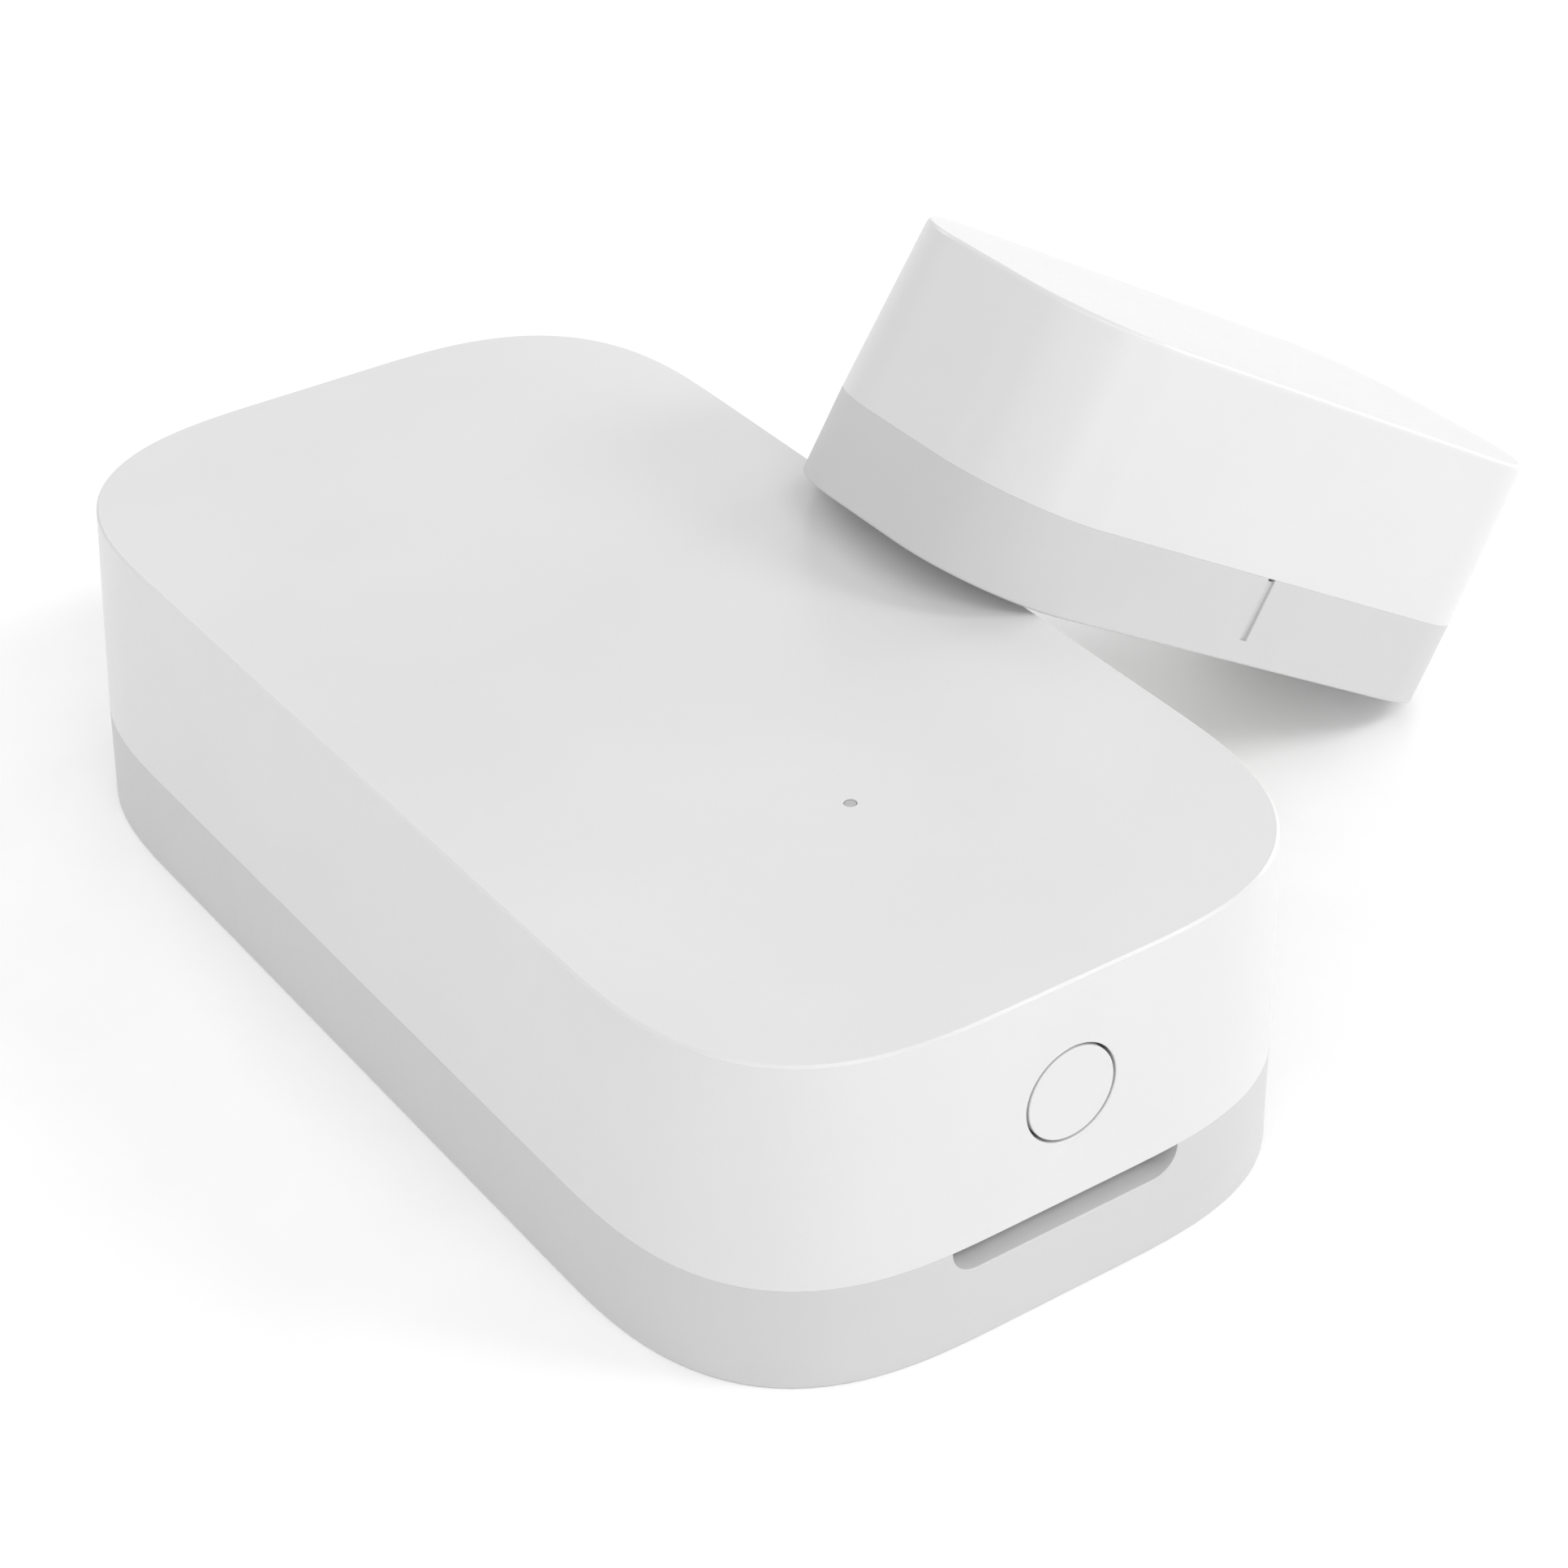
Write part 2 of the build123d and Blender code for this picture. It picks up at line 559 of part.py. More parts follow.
def cell_gasket():
    low, high = CELL_BOTTOM + CELL_SHEET, CELL_GASKET_RIM
    return cell_disc(CAN_BORE, low, high) - cell_disc(GASKET_BORE, low, high)


def cell_lid():
    skirt_foot = CELL_TOP - CELL_LID_SKIRT
    lid = cell_disc(GASKET_BORE, skirt_foot, CELL_TOP)
    lid = fillet(lid.edges().sort_by(Axis.Z)[-1], CELL_EDGE_RADIUS)
    return lid - cell_disc(GASKET_BORE - CELL_SHEET, skirt_foot, CELL_TOP - CELL_SHEET)


def cell_core():
    return cell_disc(CORE_RADIUS, CELL_BOTTOM + CELL_SHEET, CELL_TOP - CELL_SHEET)


def positive_clip():
    """Stamped strap under the cell, with a side wall and two solder feet at each end."""
    low_y, high_y = CELL_Y - CLIP_WIDTH / 2, CELL_Y + CLIP_WIDTH / 2
    strap_foot = CELL_BOTTOM - CLIP_SHEET
    inner = CELL_RADIUS + CLIP_SIDE_CLEARANCE
    outer = inner + CLIP_SHEET
    clip = block((-outer, low_y, strap_foot), (outer, high_y, BOARD_BOTTOM))
    clip -= block((-inner, low_y, CELL_BOTTOM), (inner, high_y, BOARD_BOTTOM))
    clip = fillet(clip.edges().filter_by(Axis.Y).group_by(Axis.Z)[0], CLIP_BEND_RADIUS)
    clip -= cell_disc(CLIP_HOLE_RADIUS, strap_foot, CELL_BOTTOM)
    foot_reach = outer + CLIP_FOOT_LENGTH
    foot_low = BOARD_BOTTOM - CLIP_SHEET
    first = low_y + CLIP_FOOT_MARGIN
    last = high_y - CLIP_FOOT_MARGIN - CLIP_FOOT_WIDTH
    for sign in (-1, 1):
        for y in (first, last):
            clip += side_block(sign, outer, foot_reach, y, y + CLIP_FOOT_WIDTH, foot_low, BOARD_BOTTOM)
    return clip


def negative_contact():
    """Disc soldered under the board, with three fingers that slope down onto the cell's lid."""
    hub_foot = BOARD_BOTTOM - CONTACT_SHEET
    tip_top = CELL_TOP + CONTACT_SHEET
    profile = Polyline(
        (FINGER_ROOT, hub_foot),
        (FINGER_ROOT, BOARD_BOTTOM),
        (FINGER_BEND, BOARD_BOTTOM),
        (FINGER_TOUCH, tip_top),
        (FINGER_TIP, tip_top),
        (FINGER_TIP, CELL_TOP),
        (FINGER_TOUCH - FINGER_LEAN, CELL_TOP),
        (FINGER_BEND - FINGER_LEAN, hub_foot),
        close=True,
    )
    finger = extrude(make_face(Plane.XZ * profile), FINGER_HALF_WIDTH, both=True)
    contact = cell_disc(CONTACT_HUB_RADIUS, hub_foot, BOARD_BOTTOM)
    for turn in CONTACT_TURNS:
        contact += Pos(0, CELL_Y, 0) * Rot(0, 0, turn) * finger
    return contact


# ---------------------------------------------------------------- magnet unit, drawn flat
def magnet_cap():
    """Top shell, with two ribs that press on the bar magnet."""
    outer = drafted(
        round_outline, MAGNET_SIZE, MAGNET_SEAM, MAGNET_HEIGHT, MAGNET_BASE_DRAFT, MAGNET_TOP_INSET
    )
    outer = fillet(outer.faces().sort_by(Axis.Z)[-1].edges(), TOP_EDGE_RADIUS)
    share = (MAGNET_CEILING - MAGNET_SEAM) / (MAGNET_HEIGHT - MAGNET_SEAM)
    low_inset = MAGNET_BASE_DRAFT + WALL
    top_inset = low_inset + MAGNET_CAP_DRAFT * share
    shell = outer - drafted(round_outline, MAGNET_SIZE, MAGNET_SEAM, MAGNET_CEILING, low_inset, top_inset)
    for x in (-PRESSER_X, PRESSER_X):
        low = (x - PRESSER_HALF_WIDTH, -PRESSER_HALF_LENGTH, BAR_TOP)
        shell += block(low, (x + PRESSER_HALF_WIDTH, PRESSER_HALF_LENGTH, MAGNET_CEILING))
    return shell


def corner_bracket():
    """Cradle's bracket round the bar magnet's +X +Y corner."""
    inner_x = BAR_LENGTH / 2 + BAR_CLEARANCE
    inner_y = BAR_WIDTH / 2 + BAR_CLEARANCE
    low = (inner_x - CRADLE_ARM_X, inner_y - CRADLE_ARM_Y, MAGNET_FLOOR_TOP)
    high = (inner_x + CRADLE_THICKNESS, inner_y + CRADLE_THICKNESS, CRADLE_TOP)
    return block(low, high) - block((0, 0, MAGNET_FLOOR_TOP), (inner_x, inner_y, CRADLE_TOP))


def magnet_base():
    """Lower cover, with a raised lip and a cradle of four brackets round the bar magnet."""
    bay_inset = MAGNET_LIP_INSET + LIP_THICKNESS
    low, high = MAGNET_FLOOR_TOP, MAGNET_LIP_TOP
    base = drafted(round_outline, MAGNET_SIZE, 0, MAGNET_SEAM, 0, MAGNET_BASE_DRAFT)
    base += drafted(round_outline, MAGNET_SIZE, low, high, MAGNET_LIP_INSET, MAGNET_LIP_INSET)
    base -= drafted(round_outline, MAGNET_SIZE, low, high, bay_inset, bay_inset)
    base -= tape_recess(round_outline, MAGNET_TAPE)
    mark_face = MAGNET_WIDTH / 2 - MAGNET_BASE_DRAFT
    base -= Rot(0, 0, -90) * alignment_mark(mark_face, MARK_FOOT, MAGNET_SEAM)
    for side_x in (-1, 1):
        for side_y in (-1, 1):
            base += scale(corner_bracket(), (side_x, side_y, 1))
    return base


def bar_magnet():
    low = (-BAR_LENGTH / 2, -BAR_WIDTH / 2, MAGNET_FLOOR_TOP)
    bar = block(low, (BAR_LENGTH / 2, BAR_WIDTH / 2, BAR_TOP))
    return chamfer(bar.edges(), BAR_CHAMFER)


def magnet_tape():
    return drafted(round_outline, MAGNET_TAPE, 0, TAPE_THICKNESS)


def leaning():
    """Where the magnet unit's own frame sits: standing edge on the table, underside over the top edge."""
    tilt = math.radians(TILT)
    rise = MAGNET_LENGTH / 2 * math.sin(tilt) + FOOT_CLEARANCE
    edge_x = SENSOR_WIDTH / 2 - SENSOR_TOP_INSET - TOP_EDGE_RADIUS
    edge_z = SENSOR_HEIGHT - TOP_EDGE_RADIUS
    reach = edge_x * math.sin(tilt) + edge_z * math.cos(tilt) + TOP_EDGE_RADIUS + LEAN_CLEARANCE
    return Pos((reach - rise * math.cos(tilt)) / math.sin(tilt), 0, rise) * Rot(0, TILT, 0)


# ---------------------------------------------------------------- one file for each piece
SENSOR_PIECES = [
    base_cover,
    sensor_tape,
    upper_housing,
    light_pipe,
    reset_button,
    switch_body,
    switch_frame,
    switch_plunger,
    switch_dome,
    circuit_board,
    radio_chip,
    crystal,
    bulk_capacitor,
    status_led,
    chip_capacitors,
    chip_resistors,
    test_pads,
    antenna_trace,
    reed_glass,
    reed_leads,
    cell_can,
    cell_gasket,
    cell_lid,
    cell_core,
    positive_clip,
    negative_contact,
]
MAGNET_PIECES = [magnet_cap, magnet_base, bar_magnet, magnet_tape]

os.makedirs("parts", exist_ok=True)
for piece in SENSOR_PIECES:
    export_step(piece(), f"parts/{piece.__name__}.step")
for piece in MAGNET_PIECES:
    export_step(leaning() * piece(), f"parts/{piece.__name__}.step")
print("magnet unit's underside is centred at", leaning().position)
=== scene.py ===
"""Looks of the two-piece contact sensor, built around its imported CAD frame.

Blender's units are metres, +Z up. The meshes are drawn in millimetres and scaled as they become pieces. The
magnet unit is drawn flat in a frame of its own and laid on the sensor unit by the place of its back mount.
"""

import json
import math

import bmesh
import bpy
from mathutils import Matrix, Vector


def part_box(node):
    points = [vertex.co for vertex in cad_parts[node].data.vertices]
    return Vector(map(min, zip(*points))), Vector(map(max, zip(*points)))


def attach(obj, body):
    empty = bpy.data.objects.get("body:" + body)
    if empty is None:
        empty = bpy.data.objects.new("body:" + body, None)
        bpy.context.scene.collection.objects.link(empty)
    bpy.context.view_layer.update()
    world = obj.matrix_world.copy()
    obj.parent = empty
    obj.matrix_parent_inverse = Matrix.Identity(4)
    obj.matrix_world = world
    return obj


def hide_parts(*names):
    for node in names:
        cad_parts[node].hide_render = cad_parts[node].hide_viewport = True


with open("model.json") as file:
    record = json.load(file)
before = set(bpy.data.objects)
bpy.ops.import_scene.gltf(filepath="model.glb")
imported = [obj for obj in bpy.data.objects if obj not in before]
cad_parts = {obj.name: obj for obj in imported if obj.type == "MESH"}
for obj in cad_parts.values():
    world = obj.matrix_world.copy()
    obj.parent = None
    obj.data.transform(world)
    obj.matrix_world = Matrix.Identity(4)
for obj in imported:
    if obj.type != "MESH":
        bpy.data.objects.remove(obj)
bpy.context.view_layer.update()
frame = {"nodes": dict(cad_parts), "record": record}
MM = 0.001

# -------- camera
CAMERA_AZIMUTH = -35.158
CAMERA_ELEVATION = 35.417
CAMERA_DISTANCE = 112.37 * MM
CAMERA_LENS = 81.35
AIM = Vector((3.354, -0.390, 2.267)) * MM
SHIFT = (0.02386, 0.03953)


def direction(azimuth, elevation):
    """Unit vector towards a place round the object: azimuth 0 is the button's side, 90 the magnet's."""
    turn = math.radians(azimuth)
    rise = math.radians(elevation)
    return Vector((math.sin(turn) * math.cos(rise), -math.cos(turn) * math.cos(rise), math.sin(rise)))


def new_object(name, data):
    """An object of this name in the scene."""
    thing = bpy.data.objects.new(name, data)
    bpy.context.scene.collection.objects.link(thing)
    return thing


def add_camera():
    back = direction(CAMERA_AZIMUTH, CAMERA_ELEVATION)
    right = Vector((math.cos(math.radians(CAMERA_AZIMUTH)), math.sin(math.radians(CAMERA_AZIMUTH)), 0))
    data = bpy.data.cameras.new("camera")
    data.lens = CAMERA_LENS
    data.sensor_width = 36
    data.shift_x, data.shift_y = SHIFT
    data.clip_start = 0.005
    data.clip_end = 20
    camera = new_object("camera", data)
    turn = Matrix((right, back.cross(right), back)).transposed().to_4x4()
    camera.matrix_world = Matrix.Translation(AIM + back * CAMERA_DISTANCE) @ turn
    bpy.context.scene.camera = camera


# -------- material helpers
def set_inputs(node, **values):
    """Values for a node's inputs, by their names with _ for a space."""
    for socket, value in values.items():
        node.inputs[socket.replace("_", " ")].default_value = value


class Surface:
    """Principled material whose colour, roughness and relief come from nodes in the object's frame."""

    def __init__(self, name, roughness, metallic=0.0, **sockets):
        self.material = bpy.data.materials.new(name)
        self.material.use_nodes = True
        self.tree = self.material.node_tree
        self.shader = self.tree.nodes["Principled BSDF"]
        set_inputs(self.shader, Roughness=roughness, Metallic=metallic, **sockets)
        self.place = self.tree.nodes.new("ShaderNodeTexCoord").outputs["Object"]

    def node(self, kind, **values):
        node = self.tree.nodes.new(kind)
        set_inputs(node, **values)
        return node

    def link(self, source, target):
        self.tree.links.new(source, target)

    def stretched(self, scale):
        """The object's frame with each axis scaled, for brushing and fibres."""
        node = self.node("ShaderNodeMapping", Scale=scale)
        self.link(self.place, node.inputs["Vector"])
        return node.outputs["Vector"]

    def noise(self, size_mm, detail=3.0, at=None):
        """Cloudy values from 0 to 1, with clouds about this many millimetres across."""
        node = self.node("ShaderNodeTexNoise", Scale=1 / (size_mm * MM), Detail=detail)
        self.link(at or self.place, node.inputs["Vector"])
        return node.outputs["Fac"]

    def cells(self, size_mm):
        """Distances within cells about this many millimetres across."""
        node = self.node("ShaderNodeTexVoronoi", Scale=1 / (size_mm * MM))
        self.link(self.place, node.inputs["Vector"])
        return node.outputs["Distance"]

    def spread(self, source, low, high, source_low=0.3, source_high=0.7):
        """A value stretched from one range to another."""
        node = self.node("ShaderNodeMapRange", From_Min=source_low, From_Max=source_high)
        set_inputs(node, To_Min=low, To_Max=high)
        self.link(source, node.inputs["Value"])
        return node.outputs["Result"]

    def joined(self, first, second, operation="ADD"):
        """Two values added or multiplied."""
        node = self.node("ShaderNodeMath")
        node.operation = operation
        self.link(first, node.inputs[0])
        self.link(second, node.inputs[1])
        return node.outputs["Value"]

    def colours(self, source, low, high, source_low=0.3, source_high=0.7):
        """Base colour that runs between two colours with the source's value."""
        node = self.node("ShaderNodeValToRGB")
        stops = (source_low, low), (source_high, high)
        for element, (position, colour) in zip(node.color_ramp.elements, stops):
            element.position = position
            element.color = (*colour, 1)
        self.link(source, node.inputs["Fac"])
        self.link(node.outputs["Color"], self.shader.inputs["Base Color"])

    def gloss(self, source, low, high):
        """Roughness that runs between two values with the source's."""
        self.link(self.spread(source, low, high), self.shader.inputs["Roughness"])

    def relief(self, source, height_mm):
        """Bumps of this height."""
        node = self.node("ShaderNodeBump", Distance=height_mm * MM)
        self.link(source, node.inputs["Height"])
        self.link(node.outputs["Normal"], self.shader.inputs["Normal"])


def grey(tone):
    return (tone, tone, tone)


def moulded(name, tone, roughness):
    """Spark-eroded moulded plastic: a fine even grain, faint clouds of flow, and a soft broken gloss."""
    surface = Surface(name, roughness, IOR=1.5)
    grain = surface.noise(0.07, detail=2.0)
    clouds = surface.noise(6.0, detail=2.0)
    both = surface.joined(surface.spread(clouds, 0.0, 0.7), surface.spread(grain, 0.0, 0.3))
    surface.colours(both, grey(tone * 0.985), grey(tone * 1.015), 0.0, 1.0)
    surface.gloss(surface.noise(0.25), roughness - 0.03, roughness + 0.05)
    surface.relief(grain, 0.0012)
    return surface.material


def brushed(name, dark, light, roughness, scale=(1, 12, 1)):
    """Rolled sheet metal: fine streaks along one axis, and faint cloudy tarnish."""
    surface = Surface(name, roughness, metallic=1.0)
    streaks = surface.noise(0.12, detail=4.0, at=surface.stretched(scale))
    clouds = surface.noise(2.5)
    surface.colours(surface.joined(streaks, clouds, "MULTIPLY"), dark, light, 0.12, 0.40)
    surface.gloss(streaks, roughness - 0.06, roughness + 0.10)
    surface.relief(streaks, 0.002)
    return surface.material


def grained(name, dark, light, roughness, grain_mm, height_mm, metallic=0.0):
    """Speckled, slightly rough solid: ceramic, pressed powder or sintered block."""
    surface = Surface(name, roughness, metallic=metallic)
    specks = surface.cells(grain_mm)
    clouds = surface.noise(grain_mm * 8)
    surface.colours(surface.joined(specks, clouds, "MULTIPLY"), dark, light, 0.05, 0.45)
    surface.gloss(clouds, roughness - 0.05, roughness + 0.08)
    surface.relief(specks, height_mm)
    return surface.material


TRACK_PATCH = 3.2  # millimetres across a patch of parallel tracks
TRACK_PITCH = 0.55
WAVES_PER_SCALE = 0.32  # the wave texture's repeats in a length of 1 at a scale of 1, about


def board_tracks(surface):
    """1 on the copper tracks: patches of parallel tracks along X or along Y, and bare patches."""
    patches = surface.node("ShaderNodeTexVoronoi", Scale=1 / (TRACK_PATCH * MM))
    patches.distance = "CHEBYCHEV"
    surface.link(surface.stretched((1, 1, 0.01)), patches.inputs["Vector"])
    picks = surface.node("ShaderNodeSeparateColor")
    surface.link(patches.outputs["Color"], picks.inputs["Color"])
    rows = []
    for band, low, high in (("X", 0.45, 0.46), ("Y", 0.46, 0.45)):
        stripes = surface.node("ShaderNodeTexWave", Scale=WAVES_PER_SCALE / (TRACK_PITCH * MM))
        stripes.bands_direction = band
        surface.link(surface.place, stripes.inputs["Vector"])
        lines = surface.spread(stripes.outputs["Fac"], 0.0, 1.0, 0.62, 0.72)
        chosen = surface.spread(picks.outputs["Red"], 0.0, 1.0, low, high)
        rows.append(surface.joined(lines, chosen, "MULTIPLY"))
    present = surface.spread(picks.outputs["Green"], 0.0, 1.0, 0.35, 0.36)
    return surface.joined(surface.joined(*rows), present, "MULTIPLY")


def solder_mask():
    """Green lacquer over copper tracks: the tracks stand a little proud and show lighter."""
    surface = Surface("solder_mask", 0.3, IOR=1.5)
    tracks = board_tracks(surface)
    surface.colours(tracks, (0.004, 0.045, 0.016), (0.010, 0.085, 0.030), 0.0, 1.0)
    surface.gloss(surface.noise(0.8), 0.24, 0.38)
    surface.relief(surface.joined(tracks, surface.noise(0.3)), 0.010)
    return surface.material


def clear_glass():
    """Faintly green glass of the reed switch, with the slight waves of drawn tube."""
    surface = Surface("clear_glass", 0.03, IOR=1.5, Transmission_Weight=1.0)
    surface.colours(surface.noise(1.5), (0.80, 0.90, 0.80), (0.88, 0.95, 0.87))
    surface.gloss(surface.noise(0.6), 0.02, 0.07)
    surface.relief(surface.noise(0.9), 0.004)
    return surface.material


def frosted_pipe():
    """Moulded diffusing plastic of the light pipe."""
    surface = Surface("frosted_pipe", 0.32, IOR=1.5)
    clouds = surface.noise(0.12)
    surface.colours(clouds, grey(0.42), grey(0.49))
    surface.gloss(clouds, 0.28, 0.42)
    surface.relief(clouds, 0.002)
    return surface.material


def liner_paper(tone):
    """Siliconed paper liner of the tape: crossed fibres and a waxy gloss."""
    surface = Surface("liner_paper", 0.45)
    along = surface.noise(0.25, detail=5.0, at=surface.stretched((1, 5, 1)))
    across = surface.noise(0.25, detail=5.0, at=surface.stretched((5, 1, 1)))
    fibres = surface.joined(along, across, "MULTIPLY")
    surface.colours(fibres, (tone * 0.93, tone * 0.92, tone * 0.88), (tone, tone, tone * 0.97), 0.12, 0.42)
    surface.gloss(fibres, 0.40, 0.60)
    surface.relief(fibres, 0.006)
    return surface.material


def carrier(tone):
    """Closed-cell carrier layer of the tape, seen at its cut edge."""
    surface = Surface("tape_carrier", 0.85)
    bubbles = surface.cells(0.09)
    surface.colours(bubbles, grey(tone * 0.82), grey(tone), 0.1, 0.6)
    surface.gloss(surface.noise(0.3), 0.75, 0.95)
    surface.relief(bubbles, 0.02)
    return surface.material


CAP_TONE = 0.72
BASE_TONE = 0.60
CAP_PLASTIC = moulded("housing_plastic", CAP_TONE, 0.31)
BASE_PLASTIC = moulded("cover_plastic", BASE_TONE, 0.45)
BUTTON_PLASTIC = moulded("button_plastic", CAP_TONE, 0.40)
BLACK_PLASTIC = moulded("black_moulding", 0.022, 0.48)
NYLON = moulded("gasket_nylon", 0.10, 0.5)
PIPE_PLASTIC = frosted_pipe()
MASK = solder_mask()
GLASS = clear_glass()
CARRIER = carrier(0.62)
LINER = liner_paper(0.74)
STEEL = brushed("rolled_steel", (0.40, 0.39, 0.37), (0.62, 0.61, 0.58), 0.34)
NICKEL = brushed("cell_nickel", (0.48, 0.47, 0.45), (0.72, 0.71, 0.68), 0.26, (9, 1, 1))
SPRING = brushed("spring_bronze", (0.52, 0.36, 0.15), (0.74, 0.56, 0.28), 0.30, (1, 1, 8))
GOLD = brushed("gold_plate", (0.62, 0.42, 0.14), (0.86, 0.64, 0.28), 0.30, (1, 1, 1))
TIN = brushed("tin_plate", (0.46, 0.46, 0.45), (0.70, 0.70, 0.69), 0.38, (1, 1, 1))
CERAMIC = grained("capacitor_dielectric", (0.17, 0.105, 0.05), (0.30, 0.20, 0.11), 0.45, 0.05, 0.002)
ALUMINA = grained("alumina", (0.58, 0.57, 0.54), (0.74, 0.73, 0.70), 0.55, 0.05, 0.002)
GLAZE = grained("resistor_glaze", (0.012, 0.012, 0.014), (0.03, 0.03, 0.034), 0.30, 0.08, 0.001)
RESIN = grained("tantalum_resin", (0.42, 0.22, 0.03), (0.58, 0.33, 0.06), 0.42, 0.07, 0.002)
PHOSPHOR = grained("led_phosphor", (0.60, 0.50, 0.12), (0.80, 0.70, 0.22), 0.28, 0.06, 0.001)
POWDER = grained("pressed_powder", (0.012, 0.012, 0.012), (0.045, 0.045, 0.045), 0.85, 0.10, 0.02)
FERRITE = grained("sintered_magnet", (0.035, 0.035, 0.038), (0.095, 0.093, 0.095), 0.55, 0.12, 0.012, 0.5)


# -------- outlines and shells, in millimetres
CORNER_STEPS = 28
GUARD = 0.25  # flat strip kept beside a rounded edge, as a share of its reach


def bezier(handles, share):
    """Point of a Bezier curve, by repeated division."""
    points = [Vector(handle) for handle in handles]
    while len(points) > 1:
        points = [low.lerp(high, share) for low, high in zip(points, points[1:])]
    return points[0]


def corner_points(ease, steps):
    """Points of one corner from (1, 0) to (0, 1): eased by two handle lengths, or circular without them."""
    points = []
    for step in range(steps + 1):
        share = step / steps
        if ease:
            near, far = ease
            points.append(bezier([(1, 0), (1, near), (1, far), (far, 1), (near, 1), (0, 1)], share))
        else:
            angle = share * math.pi / 2
            points.append(Vector((math.cos(angle), math.sin(angle))))
    return points


def outline(size_x, size_y, corner, z, ease=None, steps=CORNER_STEPS, centre=(0, 0)):
    """Ring of points round a rectangle with rounded corners, anticlockwise from above."""
    ring = []
    for turn, (sign_x, sign_y) in enumerate(((1, 1), (-1, 1), (-1, -1), (1, -1))):
        points = corner_points(ease, steps)
        if turn % 2:
            points.reverse()
        for point in points:
            x = sign_x * (size_x / 2 - corner + corner * point.x)
            y = sign_y * (size_y / 2 - corner + corner * point.y)
            ring.append((centre[0] + x, centre[1] + y, z))
    return ring


def soften(points, radii, steps=4):
    """The line through the points with its corners rounded, and a short flat strip kept on each side."""
    line = [Vector(points[0])]
    for index in range(1, len(points) - 1):
        corner = Vector(points[index])
        radius = radii[index - 1] if isinstance(radii, list) else radii
        back = Vector(points[index - 1]) - corner
        ahead = Vector(points[index + 1]) - corner
        half = back.angle(ahead) / 2
        if radius == 0 or half > math.radians(89):
            line.append(corner)
            continue
        reach = radius / math.tan(half)
        limit = 0.38 * min(back.length, ahead.length)
        if reach > limit:
            radius *= limit / reach
            reach = limit
        back.normalize()
        ahead.normalize()
        centre = corner + (back + ahead).normalized() * radius / math.sin(half)
        first = corner + back * reach - centre
        last = corner + ahead * reach - centre
        sweep = first.angle(last)
        line.append(corner + back * reach * (1 + GUARD))
        for step in range(steps + 1):
            share = step / steps
            spoke = first * math.sin((1 - share) * sweep) + last * math.sin(share * sweep)
            line.append(centre + spoke / math.sin(sweep))
        line.append(corner + ahead * reach * (1 + GUARD))
    line.append(Vector(points[-1]))
    return line


def loft(rings, loop=False):
    """Closed skin through rings with the same number of points, capped at both ends or joined in a loop."""
    count = len(rings[0])
    points = [point for ring in rings for point in ring]
    faces = []
    for level in range(len(rings) if loop else len(rings) - 1):
        low = level * count
        high = (level + 1) % len(rings) * count
        for index in range(count):
            after = (index + 1) % count
            faces.append((low + index, low + after, high + after, high + index))
    if not loop:
        faces.append(tuple(reversed(range(count))))
        faces.append(tuple(range(len(points) - count, len(points))))
    return points, faces


def circle(radius, z, centre=(0, 0), steps=64):
    turns = [2 * math.pi * step / steps for step in range(steps)]
    return [(centre[0] + radius * math.cos(t), centre[1] + radius * math.sin(t), z) for t in turns]


def turned(profile, centre=(0, 0), steps=64, loop=False):
    """Solid turned about an upright axis, from (radius, height) points."""
    return loft([circle(radius, z, centre, steps) for radius, z in profile], loop)


def along_y(shell, x, z):
    """A shell turned about Z, laid down so that its height runs along +Y from the given axis."""
    points, faces = shell
    return [(x + px, pz, z - py) for px, py, pz in points], faces


def slab(low, high, edge, corner=None):
    """Block between two opposite corners, with all its edges rounded."""
    corner = max(edge if corner is None else corner, edge * 1.01)
    size_x, size_y = high[0] - low[0], high[1] - low[1]
    centre = ((high[0] + low[0]) / 2, (high[1] + low[1]) / 2)
    inset = min(size_x, size_y) * 0.35
    rings = []
    for amount, z in soften([(inset, low[2]), (0, low[2]), (0, high[2]), (inset, high[2])], edge, 3):
        radius = max(corner - amount, 0.02 * corner)
        rings.append(outline(size_x - 2 * amount, size_y - 2 * amount, radius, z, None, 4, centre))
    return loft(rings)


def plate(size_x, size_y, corner, low, high, edge, ease=None):
    """Flat plate between two heights, with rounded corners and softened edges."""
    rings = []
    for inset, z in soften([(1, low), (0, low), (0, high), (1, high)], edge):
        rings.append(outline(size_x - 2 * inset, size_y - 2 * inset, corner - inset, z, ease))
    return loft(rings)


def turned_ring(inner, outer, low, high, radii, centre, steps):
    """Closed ring of rectangular section with softened edges, turned about an upright axis."""
    middle = (inner + outer) / 2
    line = [(middle, low), (outer, low), (outer, high), (inner, high), (inner, low), (middle, low)]
    return turned(soften(line, radii)[:-1], centre, steps, loop=True)


def tube(path, radius, steps=20):
    """Round wire along a path that lies in a plane facing X, through points close together."""
    rings = []
    points = [Vector(point) for point in path]
    for index, point in enumerate(points):
        ahead = points[min(index + 1, len(points) - 1)] - points[max(index - 1, 0)]
        side = Vector((1, 0, 0))
        up = ahead.normalized().cross(side)
        ring = []
        for step in range(steps):
            turn = 2 * math.pi * step / steps
            ring.append(tuple(point + radius * (math.cos(turn) * side + math.sin(turn) * up)))
        rings.append(ring)
    return loft(rings)


